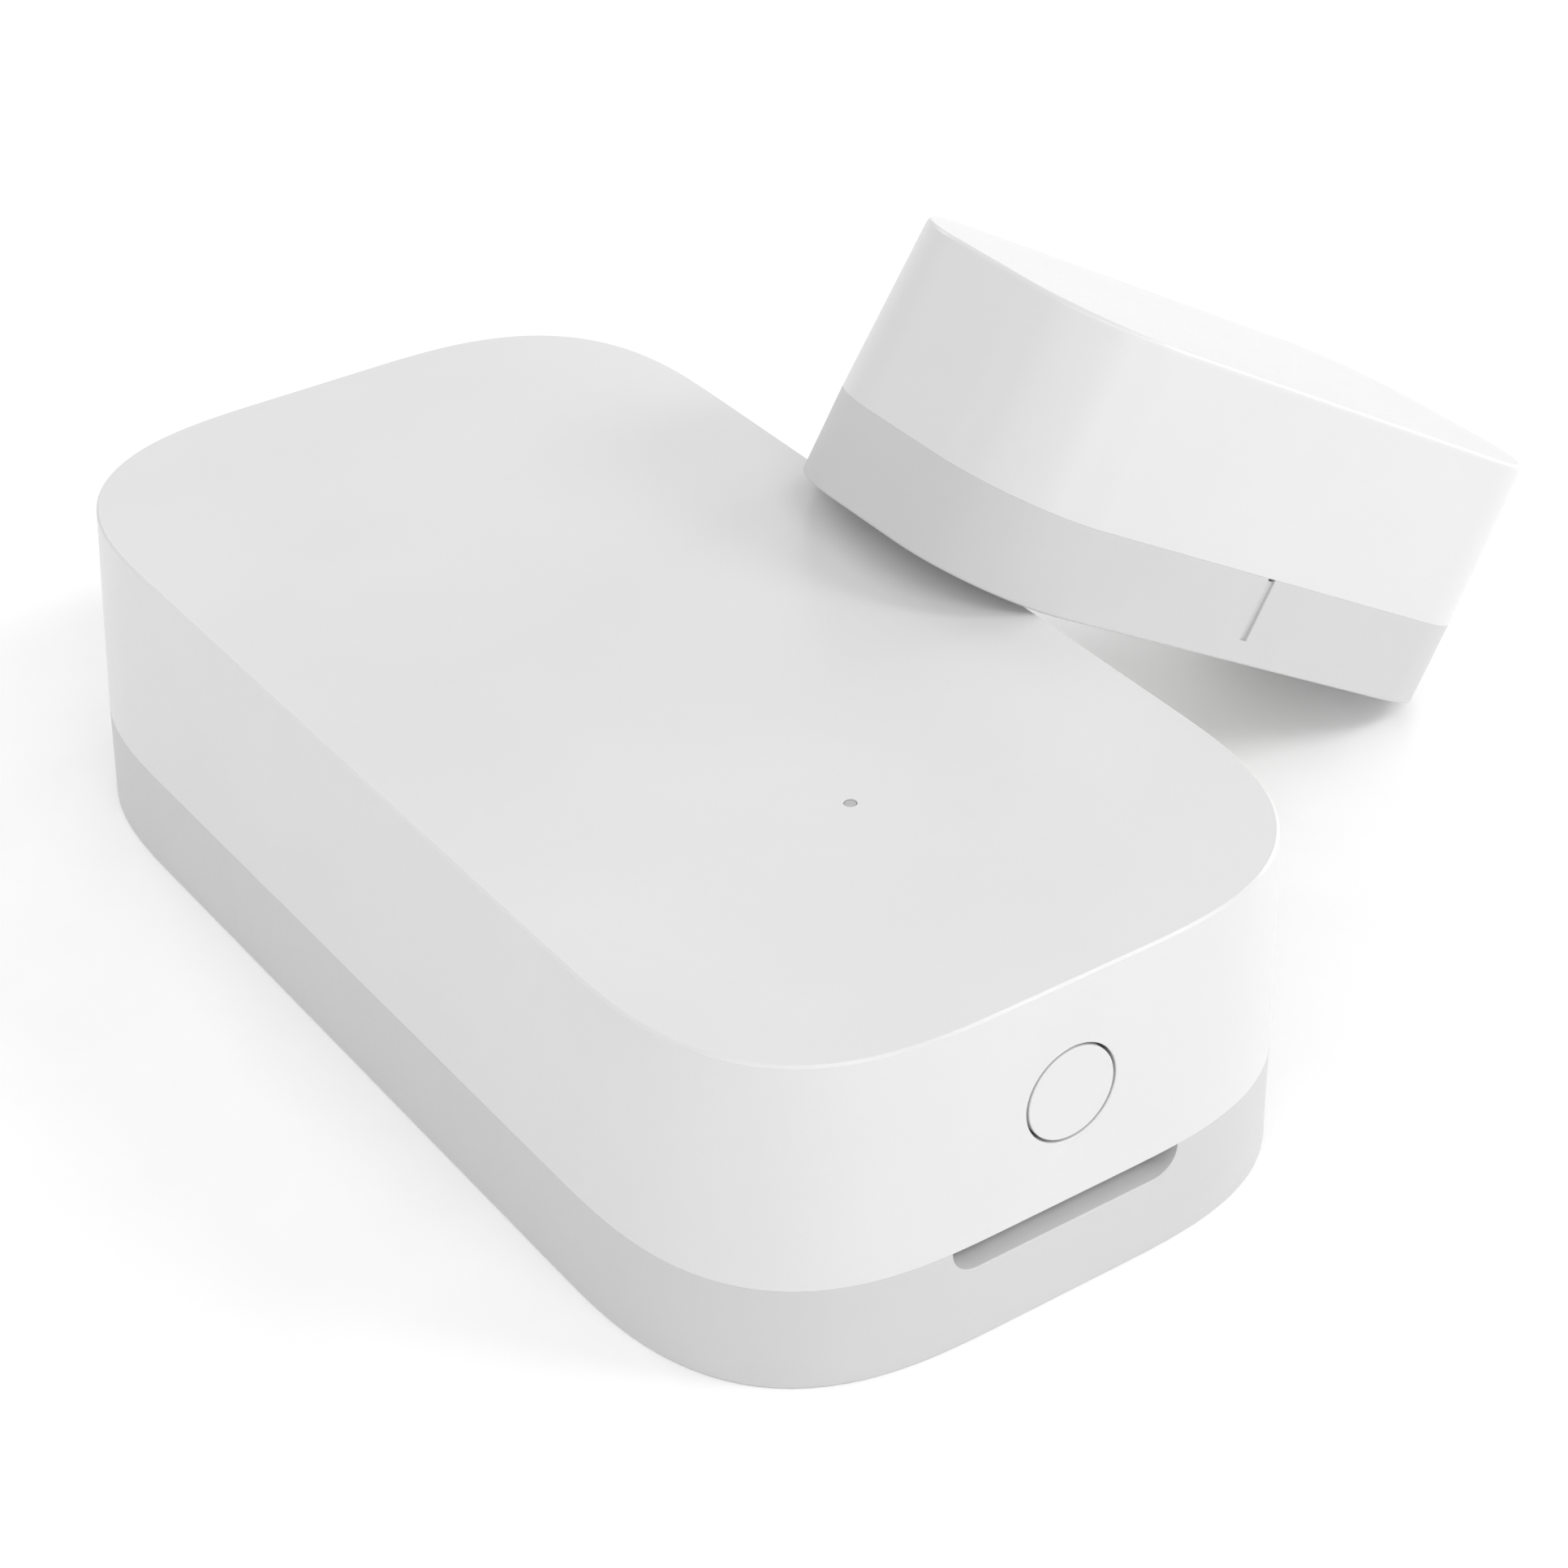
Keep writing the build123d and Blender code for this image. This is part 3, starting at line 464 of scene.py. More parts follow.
def mesh_of(shells):
    """One mesh in millimetres from closed shells, with every face turned outwards."""
    points, faces = [], []
    for shell_points, shell_faces in shells:
        start = len(points)
        points += [tuple(point) for point in shell_points]
        faces += [[start + index for index in face] for face in shell_faces]
    mesh = bpy.data.meshes.new("draft")
    mesh.from_pydata(points, [], faces)
    draft = bmesh.new()
    draft.from_mesh(mesh)
    bmesh.ops.recalc_face_normals(draft, faces=draft.faces)
    draft.to_mesh(mesh)
    draft.free()
    return mesh


def combine(mesh, operation, shells):
    """The mesh cut by, or joined with, closed shells: DIFFERENCE or UNION."""
    target = new_object("target", mesh)
    tool = new_object("tool", mesh_of(shells))
    modifier = target.modifiers.new("combine", "BOOLEAN")
    modifier.operation = operation
    modifier.object = tool
    modifier.solver = "EXACT"
    bpy.context.view_layer.update()
    result = bpy.data.meshes.new_from_object(target.evaluated_get(bpy.context.evaluated_depsgraph_get()))
    for draft in (target, tool):
        data = draft.data
        bpy.data.objects.remove(draft)
        bpy.data.meshes.remove(data)
    return result


def piece(name, shape, body, material, replaces=(), place=None):
    """A shown piece from a mesh or a list of shells in millimetres, riding on a CAD body."""
    mesh = mesh_of(shape) if isinstance(shape, list) else shape
    mesh.name = name
    mesh.transform(Matrix.Scale(MM, 4))
    if place:
        mesh.transform(place)
    mesh.materials.clear()
    mesh.materials.append(material)
    mesh.shade_smooth()
    mesh.set_sharp_from_angle(angle=math.radians(30))
    shown = new_object(name, mesh)
    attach(shown, body)
    if replaces:
        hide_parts(*replaces)
    return shown


def box_mm(node):
    low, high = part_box(node)
    return Vector(low) / MM, Vector(high) / MM


def centre_of(low, high):
    return ((low.x + high.x) / 2, (low.y + high.y) / 2)


def solid_boxes(node):
    """Lowest and highest corners, in millimetres, of each separate solid in a CAD node."""
    mesh = frame["nodes"][node].data
    places = [tuple(round(value / MM, 4) for value in vertex.co) for vertex in mesh.vertices]
    group = {place: place for place in places}

    def root(place):
        while group[place] != place:
            place = group[place]
        return place

    for edge in mesh.edges:
        first, second = (root(places[index]) for index in edge.vertices)
        group[first] = second
    solids = {}
    for place in set(places):
        solids.setdefault(root(place), []).append(place)
    boxes = []
    for members in solids.values():
        low = Vector([min(place[axis] for place in members) for axis in range(3)])
        high = Vector([max(place[axis] for place in members) for axis in range(3)])
        boxes.append((low, high))
    return sorted(boxes, key=lambda corners: tuple(corners[0]))


def carry(node, material):
    mesh = frame["nodes"][node].data
    mesh.materials.clear()
    mesh.materials.append(material)


# -------- sensor unit: covers
BASE_LOW, BASE_HIGH = box_mm("base_cover")
HOUSING_LOW, HOUSING_HIGH = box_mm("upper_housing")
SENSOR_X, SENSOR_Y = BASE_HIGH.x - BASE_LOW.x, BASE_HIGH.y - BASE_LOW.y
SEAM, TOP, LIP_TOP = HOUSING_LOW.z, HOUSING_HIGH.z, BASE_HIGH.z
BASE_DRAFT = BASE_HIGH.x - HOUSING_HIGH.x
HOUSING_DRAFT = 0.306
SENSOR_CORNER = 9.0
EASE = (0.381, 0.732)
WALL = 1.2
CEILING = TOP - WALL
FLOOR = 1.3
TOP_BEVEL = 0.075
BEVEL_EDGE = 0.03
SEAM_EDGE = 0.012
INNER_EDGE = 0.12
LIP_INSET = BASE_DRAFT + WALL + 0.15
BAY_INSET = LIP_INSET + 0.8
TAPE_DEPTH = 0.5
TAPE_LINER = 0.1
TAPE_CORE_INSET = 0.06
SENSOR_TAPE_CORNER = 6.0
RECESS_ROOM = 0.2
WALL_SLOPE = HOUSING_DRAFT / (TOP - SEAM)


def sensor_ring(inset, z):
    """Ring at a height, drawn in from the underside's outline."""
    return outline(SENSOR_X - 2 * inset, SENSOR_Y - 2 * inset, SENSOR_CORNER - inset, z, EASE)


def housing_inset(z):
    return BASE_DRAFT + WALL_SLOPE * (z - SEAM)


def button_wall(z):
    """Y of the housing's outer face at the button's end."""
    return -(SENSOR_Y / 2 - housing_inset(z))


BUTTON_LOW, BUTTON_HIGH = box_mm("reset_button")
BUTTON_Z = (BUTTON_LOW.z + BUTTON_HIGH.z) / 2
BUTTON_HOLE = 1.545
BUTTON_RADIUS = 1.458
BUTTON_FLANGE = 0.45
BUTTON_FLANGE_GAP = 0.05
BUTTON_STEM = 0.6
RIM = 0.02  # softened rims of the cut openings


def sheared(shell, slope, z_level):
    """A shell along Y leaned so that its front follows the drafted wall."""
    points, faces = shell
    return [(x, y + slope * (z - z_level), z) for x, y, z in points], faces


def button_hole():
    """Cutter: a round bore whose mouth flares a little at the outer face."""
    face = button_wall(BUTTON_Z)
    profile = [
        (BUTTON_HOLE + 1, face - 1), (BUTTON_HOLE + RIM, face), (BUTTON_HOLE, face + RIM),
        (BUTTON_HOLE, face + WALL + 1),
    ]
    return sheared(along_y(turned(profile, steps=128), 0, BUTTON_Z), WALL_SLOPE, BUTTON_Z)


LIGHT_LOW, LIGHT_HIGH = box_mm("light_pipe")
LIGHT_Y = (LIGHT_LOW.y + LIGHT_HIGH.y) / 2
LIGHT_HOLE = 0.2
LIGHT_TIP = 0.19
LIGHT_FLANGE = LIGHT_HIGH.x
LIGHT_FLANGE_FOOT = CEILING - 0.6
LIGHT_SHAFT = 0.7
LIGHT_BOSS_WALL = 0.6
LIGHT_ROOM = 0.05  # round the pipe's flange, in its pocket
BOARD_LOW, BOARD_HIGH = box_mm("circuit_board")
STAKES = [(-5.6, -11.6), (5.6, -11.6), (-5.6, 12.6), (5.6, 12.6)]
STAKE_POST = 1.1
STAKE_PIN = 0.55
STAKE_HEAD = 0.9
STAKE_HEAD_THICKNESS = 0.4


def heat_stake(x, y):
    """Post from the ceiling to the board, its pin, and the domed head that the hot tool forms under it."""
    foot = BOARD_LOW.z - STAKE_HEAD_THICKNESS
    profile = soften([
        (0.2, foot), (STAKE_HEAD, foot), (STAKE_HEAD, BOARD_LOW.z - 0.01), (STAKE_PIN, BOARD_LOW.z - 0.01),
        (STAKE_PIN, BOARD_HIGH.z + 0.01), (STAKE_POST, BOARD_HIGH.z + 0.01), (STAKE_POST, CEILING + 0.3),
        (0.2, CEILING + 0.3),
    ], [0.25, 0.02, 0.02, 0.02, 0.08, 0])
    return turned(profile, (x, y), 40)


def housing_mesh():
    """Drafted shell with its heat stakes, the light pipe's boss and pocket, and the cut openings."""
    inner_top = housing_inset(CEILING) + WALL
    profile = soften([
        (inner_top + 2, CEILING), (inner_top, CEILING), (BASE_DRAFT + WALL, SEAM), (BASE_DRAFT, SEAM),
        (housing_inset(TOP - TOP_BEVEL), TOP - TOP_BEVEL), (housing_inset(TOP) + TOP_BEVEL, TOP),
        (housing_inset(TOP) + 2, TOP),
    ], [INNER_EDGE, SEAM_EDGE, SEAM_EDGE, BEVEL_EDGE, BEVEL_EDGE])
    mesh = mesh_of([loft([sensor_ring(inset, z) for inset, z in profile])])
    boss_radius = LIGHT_FLANGE + LIGHT_BOSS_WALL
    boss = turned(
        soften([
            (0.2, LIGHT_FLANGE_FOOT), (boss_radius, LIGHT_FLANGE_FOOT), (boss_radius, CEILING + 0.3),
            (0.2, CEILING + 0.3),
        ], [0.08, 0]),
        (0, LIGHT_Y),
    )
    for shell in [heat_stake(x, y) for x, y in STAKES] + [boss]:
        mesh = combine(mesh, "UNION", [shell])
    pocket_radius = LIGHT_FLANGE + LIGHT_ROOM
    pocket = turned([(pocket_radius, LIGHT_FLANGE_FOOT - 1), (pocket_radius, CEILING)], (0, LIGHT_Y))
    mouth = [(LIGHT_HOLE, TOP - RIM / 2), (LIGHT_HOLE + RIM / 2, TOP), (0.5, TOP + 0.3)]
    light_hole = turned([(LIGHT_HOLE, CEILING - 1)] + mouth, (0, LIGHT_Y))
    for shell in (button_hole(), pocket, light_hole):
        mesh = combine(mesh, "DIFFERENCE", [shell])
    return mesh


NOTCH_HALF = 3.96
NOTCH_HEIGHT = 0.87
NOTCH_CORNER = 0.85
MARK_HALF = 0.17
MARK_DEPTH = 0.09
MARK_FOOT = 0.78
MARK_RELIEF = (0.5, 0.1)  # depth and height of the deeper end under the seam


def notch_cutter():
    """Cutter for the pry notch: rounded lower corners, a softened mouth, open to the seam."""
    face = button_wall(SEAM)
    rings = []
    for y, grow in ((face - 1, 1), (face, RIM), (face + RIM, 0), (face + WALL + 0.15, 0)):
        half = NOTCH_HALF + grow
        foot = SEAM - NOTCH_HEIGHT - grow
        line = [(half, SEAM + 0.01)]
        for step in range(CORNER_STEPS + 1):
            turn = step / CORNER_STEPS * math.pi / 2
            reach = NOTCH_CORNER * (1 - math.cos(turn))
            line.append((half - reach, foot + NOTCH_CORNER * (1 - math.sin(turn))))
        rings.append([(x, y, z) for x, z in line] + [(-x, y, z) for x, z in reversed(line)])
    return loft(rings)


def mark_cutter(face, foot, seam):
    """Cutter for the alignment line on a wall that faces +X, with its deeper end under the seam."""
    depth, height = MARK_RELIEF
    line = [(face + 1, foot), (face - MARK_DEPTH, foot), (face - MARK_DEPTH, seam - height)]
    line += [(face - depth, seam - height), (face - depth, seam + 0.01), (face + 1, seam + 0.01)]
    return loft([[(x, y, z) for x, z in line] for y in (-MARK_HALF, MARK_HALF)])


BEAD_PLACES = [(side, y) for side in (-1, 1) for y in (-6.5, 6.5)]  # snap beads on the lip
BEAD_HALF = 2.5
BEAD_Z = (3.8, 4.2)
BEAD_PROUD = 0.08
SEAT_RADII = (6.3, 6.9)  # inner and outer radius of the ring under the cell
RIB_Y = 13.4
RIB_HALF = (6, 0.4)
ROOT = 0.2  # how far an added feature reaches into the wall that it stands on


def snap_bead(side, y):
    lip_face = SENSOR_X / 2 - LIP_INSET
    low_x, high_x = sorted((side * (lip_face - ROOT), side * (lip_face + BEAD_PROUD)))
    return slab((low_x, y - BEAD_HALF, BEAD_Z[0]), (high_x, y + BEAD_HALF, BEAD_Z[1]), 0.06)


def seat_ring():
    """Low ring on the floor that the cell's clip comes down to."""
    cell_y = sum(corner.y for corner in box_mm("cell_can")) / 2
    return turned_ring(*SEAT_RADII, FLOOR - ROOT, FLOOR + 0.2, [0, 0.08, 0.08, 0], (0, cell_y), 96)


def floor_rib(y):
    half_x, half_y = RIB_HALF
    return slab((-half_x, y - half_y, FLOOR - ROOT), (half_x, y + half_y, FLOOR + 1), 0.1)


def base_mesh():
    """Drafted lower cover: floor, lip, tape recess, snap beads, seat ring, ribs, notch and line."""
    tape_low, tape_high = box_mm("sensor_tape")
    recess_x = tape_high.x - tape_low.x + 2 * RECESS_ROOM
    recess_y = tape_high.y - tape_low.y + 2 * RECESS_ROOM
    recess_corner = SENSOR_TAPE_CORNER + RECESS_ROOM
    profile = soften([
        (BAY_INSET + 2, FLOOR), (BAY_INSET, FLOOR), (BAY_INSET, LIP_TOP), (LIP_INSET, LIP_TOP),
        (LIP_INSET, SEAM), (BASE_DRAFT, SEAM), (0, 0), (1.2, 0),
    ], [INNER_EDGE, 0.15, 0.15, 0.05, SEAM_EDGE, 0.08], steps=5)
    rings = [sensor_ring(inset, z) for inset, z in profile]
    for grow, z in ((0.03, 0), (0, 0.03), (0, TAPE_DEPTH), (-0.5, TAPE_DEPTH)):
        size_x, size_y = recess_x + 2 * grow, recess_y + 2 * grow
        rings.append(outline(size_x, size_y, recess_corner + grow, z, EASE))
    mesh = mesh_of([loft(rings)])
    added = [snap_bead(side, y) for side, y in BEAD_PLACES]
    added += [seat_ring(), floor_rib(-RIB_Y), floor_rib(RIB_Y)]
    for shell in added:
        mesh = combine(mesh, "UNION", [shell])
    for shell in (notch_cutter(), mark_cutter(SENSOR_X / 2 - BASE_DRAFT, MARK_FOOT, SEAM)):
        mesh = combine(mesh, "DIFFERENCE", [shell])
    return mesh


def tape_shells(low, high, corner, ease):
    """Carrier layer above, and the paper liner below it, cut a hair larger."""
    size_x, size_y = high.x - low.x, high.y - low.y
    split = low.z + TAPE_LINER
    inset = TAPE_CORE_INSET
    core = plate(size_x - 2 * inset, size_y - 2 * inset, corner - inset, split, high.z, 0.05, ease)
    return core, plate(size_x, size_y, corner, low.z, split, 0.02, ease)


def button_shell():
    """Disc flush with the wall, retaining flange and stem."""
    face = button_wall(BUTTON_Z)
    stem_end = BUTTON_HIGH.y
    flange_front = button_wall(BUTTON_HIGH.z) + WALL + BUTTON_FLANGE_GAP
    flange_back = flange_front + BUTTON_FLANGE
    profile = soften([
        (BUTTON_STEM, face), (BUTTON_RADIUS, face), (BUTTON_RADIUS, flange_front),
        (BUTTON_HIGH.x, flange_front), (BUTTON_HIGH.x, flange_back), (BUTTON_STEM, flange_back),
        (BUTTON_STEM, stem_end), (0.2, stem_end),
    ], [0.035, 0.03, 0.06, 0.06, 0.03, 0.06])
    points, faces = along_y(turned(profile, steps=128), 0, BUTTON_Z)
    front = face + 0.3
    leaned = []
    for x, y, z in points:
        leaned.append((x, y + (WALL_SLOPE * (z - BUTTON_Z) if y < front else 0), z))
    return leaned, faces


def light_pipe_shell():
    """Shaft over the board's light, flange in its pocket, and thin tip up to the top face."""
    profile = soften([
        (0.2, LIGHT_LOW.z), (LIGHT_SHAFT, LIGHT_LOW.z), (LIGHT_SHAFT, LIGHT_FLANGE_FOOT),
        (LIGHT_FLANGE, LIGHT_FLANGE_FOOT), (LIGHT_FLANGE, CEILING), (LIGHT_TIP, CEILING),
        (LIGHT_TIP, LIGHT_HIGH.z), (0.03, LIGHT_HIGH.z),
    ], [0.1, 0.05, 0.05, 0.05, 0.03, 0.03])
    return turned(profile, (0, LIGHT_Y), 48)


def add_sensor_covers():
    piece("housing_shell", housing_mesh(), "housing", CAP_PLASTIC, ["upper_housing"])
    piece("base_shell", base_mesh(), "base", BASE_PLASTIC, ["base_cover"])
    low, high = box_mm("sensor_tape")
    core, skin = tape_shells(low, high, SENSOR_TAPE_CORNER, EASE)
    piece("sensor_tape_carrier", [core], "base", CARRIER, ["sensor_tape"])
    piece("sensor_tape_liner", [skin], "base", LINER)
    piece("button_cap", [button_shell()], "button", BUTTON_PLASTIC, ["reset_button"])
    piece("light_guide", [light_pipe_shell()], "housing", PIPE_PLASTIC, ["light_pipe"])


# -------- sensor unit: board and its components
BOARD_CORNER = 7.4
REED_HOLES = [(7.0, side * 7.2, 0.35) for side in (-1, 1)]  # x, y and radius
VIAS = [(side * 7.9, 1.0 - 2.2 * row, 0.15) for side in (-1, 1) for row in range(5)]


def board_mesh():
    """Board with the holes for the heat stakes and the reed's legs, and two rows of small vias."""
    size = BOARD_HIGH - BOARD_LOW
    board = plate(size.x, size.y, BOARD_CORNER, BOARD_LOW.z, BOARD_HIGH.z, 0.04, EASE)
    holes = [(x, y, STAKE_PIN + 0.1) for x, y in STAKES] + REED_HOLES + VIAS
    drills = []
    for x, y, radius in holes:
        drills.append(turned([(radius, BOARD_LOW.z - 1), (radius, BOARD_HIGH.z + 1)], (x, y), 24))
    return combine(mesh_of([board]), "DIFFERENCE", drills)


def chip_shells(low, high, band):
    """Body and two wrapped end caps of a chip part, along its longer side."""
    along = 0 if high.x - low.x > high.y - low.y else 1
    body_low, body_high = low + Vector((0.02, 0.02, 0.01)), high - Vector((0.02, 0.02, 0.01))
    ends = []
    for start in (low[along], high[along] - band):
        end_low, end_high = low.copy(), high.copy()
        end_low[along], end_high[along] = start, start + band
        ends.append(slab(end_low, end_high, 0.04))
    return slab(body_low, body_high, 0.03), ends


def solder_fillets(low, high, reach):
    """Concave solder wedges at both ends of a chip part."""
    along = 0 if high.x - low.x > high.y - low.y else 1
    across = 1 - along
    rise = (high.z - low.z) * 0.6
    wedges = []
    for side in (-1, 1):
        end = high[along] if side > 0 else low[along]
        line = [(0, 0), (0, rise)]
        for step in range(1, 6):
            share = step / 6
            line.append((reach * share, rise * (1 - share) ** 2))
        line.append((reach, 0))
        rings = []
        for place in (low[across] + 0.03, high[across] - 0.03):
            ring = []
            for out, up in line:
                point = [0, 0, low.z + up]
                point[along] = end + side * out
                point[across] = place
                ring.append(tuple(point))
            rings.append(ring)
        wedges.append(loft(rings))
    return wedges


def add_chip_parts():
    """Capacitors and resistors: bodies, wrapped ends and solder."""
    for node, band, material, slot in (
        ("chip_capacitors", 0.25, CERAMIC, "capacitor_ceramic"),
        ("chip_resistors", 0.2, GLAZE, "resistor_black"),
    ):
        bodies, ends, solder = [], [], []
        for low, high in solid_boxes(node):
            body, caps = chip_shells(low, high, band)
            bodies.append(body)
            ends += caps
            solder += solder_fillets(low, high, 0.22)
        piece(node + "_bodies", bodies, "housing", material, [node])
        piece(node + "_ends", ends, "housing", TIN)
        piece(node + "_solder", solder, "housing", TIN)


PAD_COUNT = 8
PAD_PITCH = 0.65
PAD_LENGTH = 0.4
PAD_HALF = 0.14


def add_radio_chip():
    """Leadless package: bevelled black body with a pin-one dimple, and a row of pads along each side."""
    low, high = box_mm("radio_chip")
    centre = (low + high) / 2
    body = mesh_of([slab(low + Vector((0.02, 0.02, 0.05)), high - Vector((0.02, 0.02, 0)), 0.05)])
    dimple = turned([(0.3, high.z - 0.05), (0.34, high.z + 0.1)], (low.x + 0.8, high.y - 0.8), 32)
    body = combine(body, "DIFFERENCE", [dimple])
    piece("radio_package", body, "housing", BLACK_PLASTIC, ["radio_chip"])
    pads = []
    for step in range(PAD_COUNT):
        offset = (step - (PAD_COUNT - 1) / 2) * PAD_PITCH
        for side in (-1, 1):
            for along, across in ((0, 1), (1, 0)):
                edge = high[along] if side > 0 else low[along]
                pad_low, pad_high = low.copy(), low.copy()
                pad_low[along], pad_high[along] = sorted((edge, edge - side * PAD_LENGTH))
                pad_low[across] = centre[across] + offset - PAD_HALF
                pad_high[across] = centre[across] + offset + PAD_HALF
                pad_high.z = low.z + 0.22
                pads.append(slab(pad_low, pad_high, 0.02))
    piece("radio_pads", pads, "housing", TIN)


def add_crystal():
    """Ceramic tray with a seam-welded steel lid."""
    low, high = box_mm("crystal")
    split = low.z + (high.z - low.z) * 0.6
    tray = slab(low, (high.x, high.y, split), 0.05, 0.15)
    rim = 0.12
    lid = slab((low.x + rim, low.y + rim, split - 0.02), (high.x - rim, high.y - rim, high.z), 0.08, 0.25)
    piece("crystal_tray", [tray], "housing", ALUMINA, ["crystal"])
    piece("crystal_lid", [lid], "housing", NICKEL)


def add_bulk_capacitor():
    """Moulded resin body, narrower at the top, on two folded leads."""
    low, high = box_mm("bulk_capacitor")
    size_x, size_y = high.x - low.x, high.y - low.y
    centre = centre_of(low, high)
    profile = [(1, low.z + 0.1), (0.12, low.z + 0.1), (0.02, low.z + 0.8), (0.16, high.z), (1, high.z)]
    rings = []
    for inset, z in soften(profile, [0.08, 0.05, 0.1]):
        corner = max(0.15 - inset, 0.01)
        rings.append(outline(size_x - 2 * inset, size_y - 2 * inset, corner, z, None, 4, centre))
    piece("bulk_capacitor_body", [loft(rings)], "housing", RESIN, ["bulk_capacitor"])
    leads = []
    for side in (-1, 1):
        edge = centre[1] + side * size_y / 2
        for reach, rise in ((0.8, 0.1), (0.1, 0.85)):
            y_low, y_high = sorted((edge, edge - side * reach))
            top = low.z + rise
            leads.append(slab((centre[0] - 0.9, y_low, low.z), (centre[0] + 0.9, y_high, top), 0.03))
    piece("bulk_capacitor_leads", leads, "housing", TIN)


def add_status_led():
    """Ceramic carrier with plated ends and a domed lens."""
    low, high = box_mm("status_led")
    centre = centre_of(low, high)
    shelf = low.z + 0.3
    body, ends = chip_shells(low, Vector((high.x, high.y, shelf)), 0.25)
    piece("led_carrier", [body], "housing", ALUMINA, ["status_led"])
    piece("led_ends", ends, "housing", GOLD)
    radius = 0.36
    last = math.radians(80)
    dome = [(radius, shelf - 0.02)]
    for step in range(9):
        turn = step / 8 * last
        dome.append((radius * math.cos(turn), shelf + (high.z - shelf) * math.sin(turn) / math.sin(last)))
    piece("led_lens", [turned(dome, centre, 32)], "housing", PHOSPHOR)


def add_test_pads():
    pads = []
    for low, high in solid_boxes("test_pads"):
        centre = centre_of(low, high)
        radius = (high.x - low.x) / 2
        profile = soften([(0.1, low.z), (radius, low.z), (radius, high.z), (0.1, high.z)], 0.015)
        pads.append(turned(profile, centre, 40))
    piece("test_pad_discs", pads, "housing", GOLD, ["test_pads"])


def add_board():
    piece("board_panel", board_mesh(), "housing", MASK, ["circuit_board"])
    add_radio_chip()
    add_crystal()
    add_bulk_capacitor()
    add_status_led()
    add_chip_parts()
    add_test_pads()


# -------- sensor unit: reed switch
REED_LEAD = 0.25
REED_NECK = 0.62  # radius of the glass where it is drawn in at its ends
REED_BORE = 0.65
REED_SEAL = 1.4  # solid glass at each end
REED_BEND = 0.5


def add_reed_switch():
    """Glass tube drawn in round the leads at each end, with flat overlapping blades inside."""
    low, high = box_mm("reed_glass")
    x, z = (low.x + high.x) / 2, (low.z + high.z) / 2
    radius, half = (high.x - low.x) / 2, high.y
    hole = REED_LEAD + 0.02
    outer = soften([
        (hole, -half), (REED_NECK, -half), (radius, -half + 1.1), (radius, half - 1.1), (REED_NECK, half),
        (hole, half),
    ], [0.2, 1.2, 1.2, 0.2], 6)
    end, shoulder = half - REED_SEAL, half - REED_SEAL - 0.5
    inner = soften([(0.1, -end), (REED_BORE, -shoulder), (REED_BORE, shoulder), (0.1, end)], 0.4, 6)
    bore = turned([(REED_LEAD + 0.01, -half - 1), (REED_LEAD + 0.01, half + 1)], steps=32)
    glass = mesh_of([along_y(turned(outer, steps=48), x, z)])
    for cutter in (turned(inner, steps=48), bore):
        glass = combine(glass, "DIFFERENCE", [along_y(cutter, x, z)])
    piece("reed_tube", glass, "housing", GLASS, ["reed_glass"])
    leads_low, leads_high = box_mm("reed_leads")
    leg_y = leads_high.y - REED_LEAD
    wires, joints = [], []
    for sign in (-1, 1):
        leg = sign * leg_y
        path = [(x, sign * 3.2, z), (x, sign * 3.6, z)]
        for step in range(9):
            turn = step / 8 * math.pi / 2
            y = leg - sign * REED_BEND * (1 - math.sin(turn))
            path.append((x, y, z - REED_BEND * (1 - math.cos(turn))))
        path.append((x, leg, leads_low.z))
        wires.append(tube(path, REED_LEAD))
        y_low, y_high = sorted((-sign * 0.6, sign * 3.5))
        rise = z + sign * 0.07
        wires.append(slab((x - 0.4, y_low, rise - 0.05), (x + 0.4, y_high, rise + 0.05), 0.03))
        foot = BOARD_LOW.z
        cone = soften([(0.1, foot), (0.6, foot), (0.3, foot - 0.25), (0.1, foot - 0.28)], 0.06)
        joints.append(turned(cone, (x, leg), 32))
    piece("reed_wires", wires, "housing", TIN, ["reed_leads"])
    piece("reed_solder", joints, "housing", TIN)


# -------- sensor unit: coin cell and contacts
CELL_SHEET = 0.25
LID_STEP = 0.08


def cell_can_profile(low, high, radius):
    """Flat bottom with a pressed ring, rolled corner, wall and crimped rim."""
    return soften([
        (0.3, low.z), (5.6, low.z), (5.75, low.z + 0.05), (6.2, low.z + 0.05), (6.35, low.z),
        (radius, low.z), (radius, high.z - 0.02), (radius - CELL_SHEET, high.z - 0.02),
        (radius - CELL_SHEET, low.z + CELL_SHEET), (0.3, low.z + CELL_SHEET),
    ], [0.1, 0.05, 0.05, 0.1, 0.25, 0.08, 0.08, 0.1])


def cell_lid_profile(low, high, edge):
    """Flat top with a small step, rolled corner and skirt."""
    return soften([
        (0.3, high.z), (edge - 0.9, high.z), (edge - 0.7, high.z - LID_STEP), (edge, high.z - LID_STEP),
        (edge, low.z), (edge - CELL_SHEET, low.z), (edge - CELL_SHEET, high.z - CELL_SHEET - LID_STEP),
        (0.3, high.z - CELL_SHEET - LID_STEP),
    ], [0.1, 0.1, 0.2, 0.05, 0.05, 0.1])


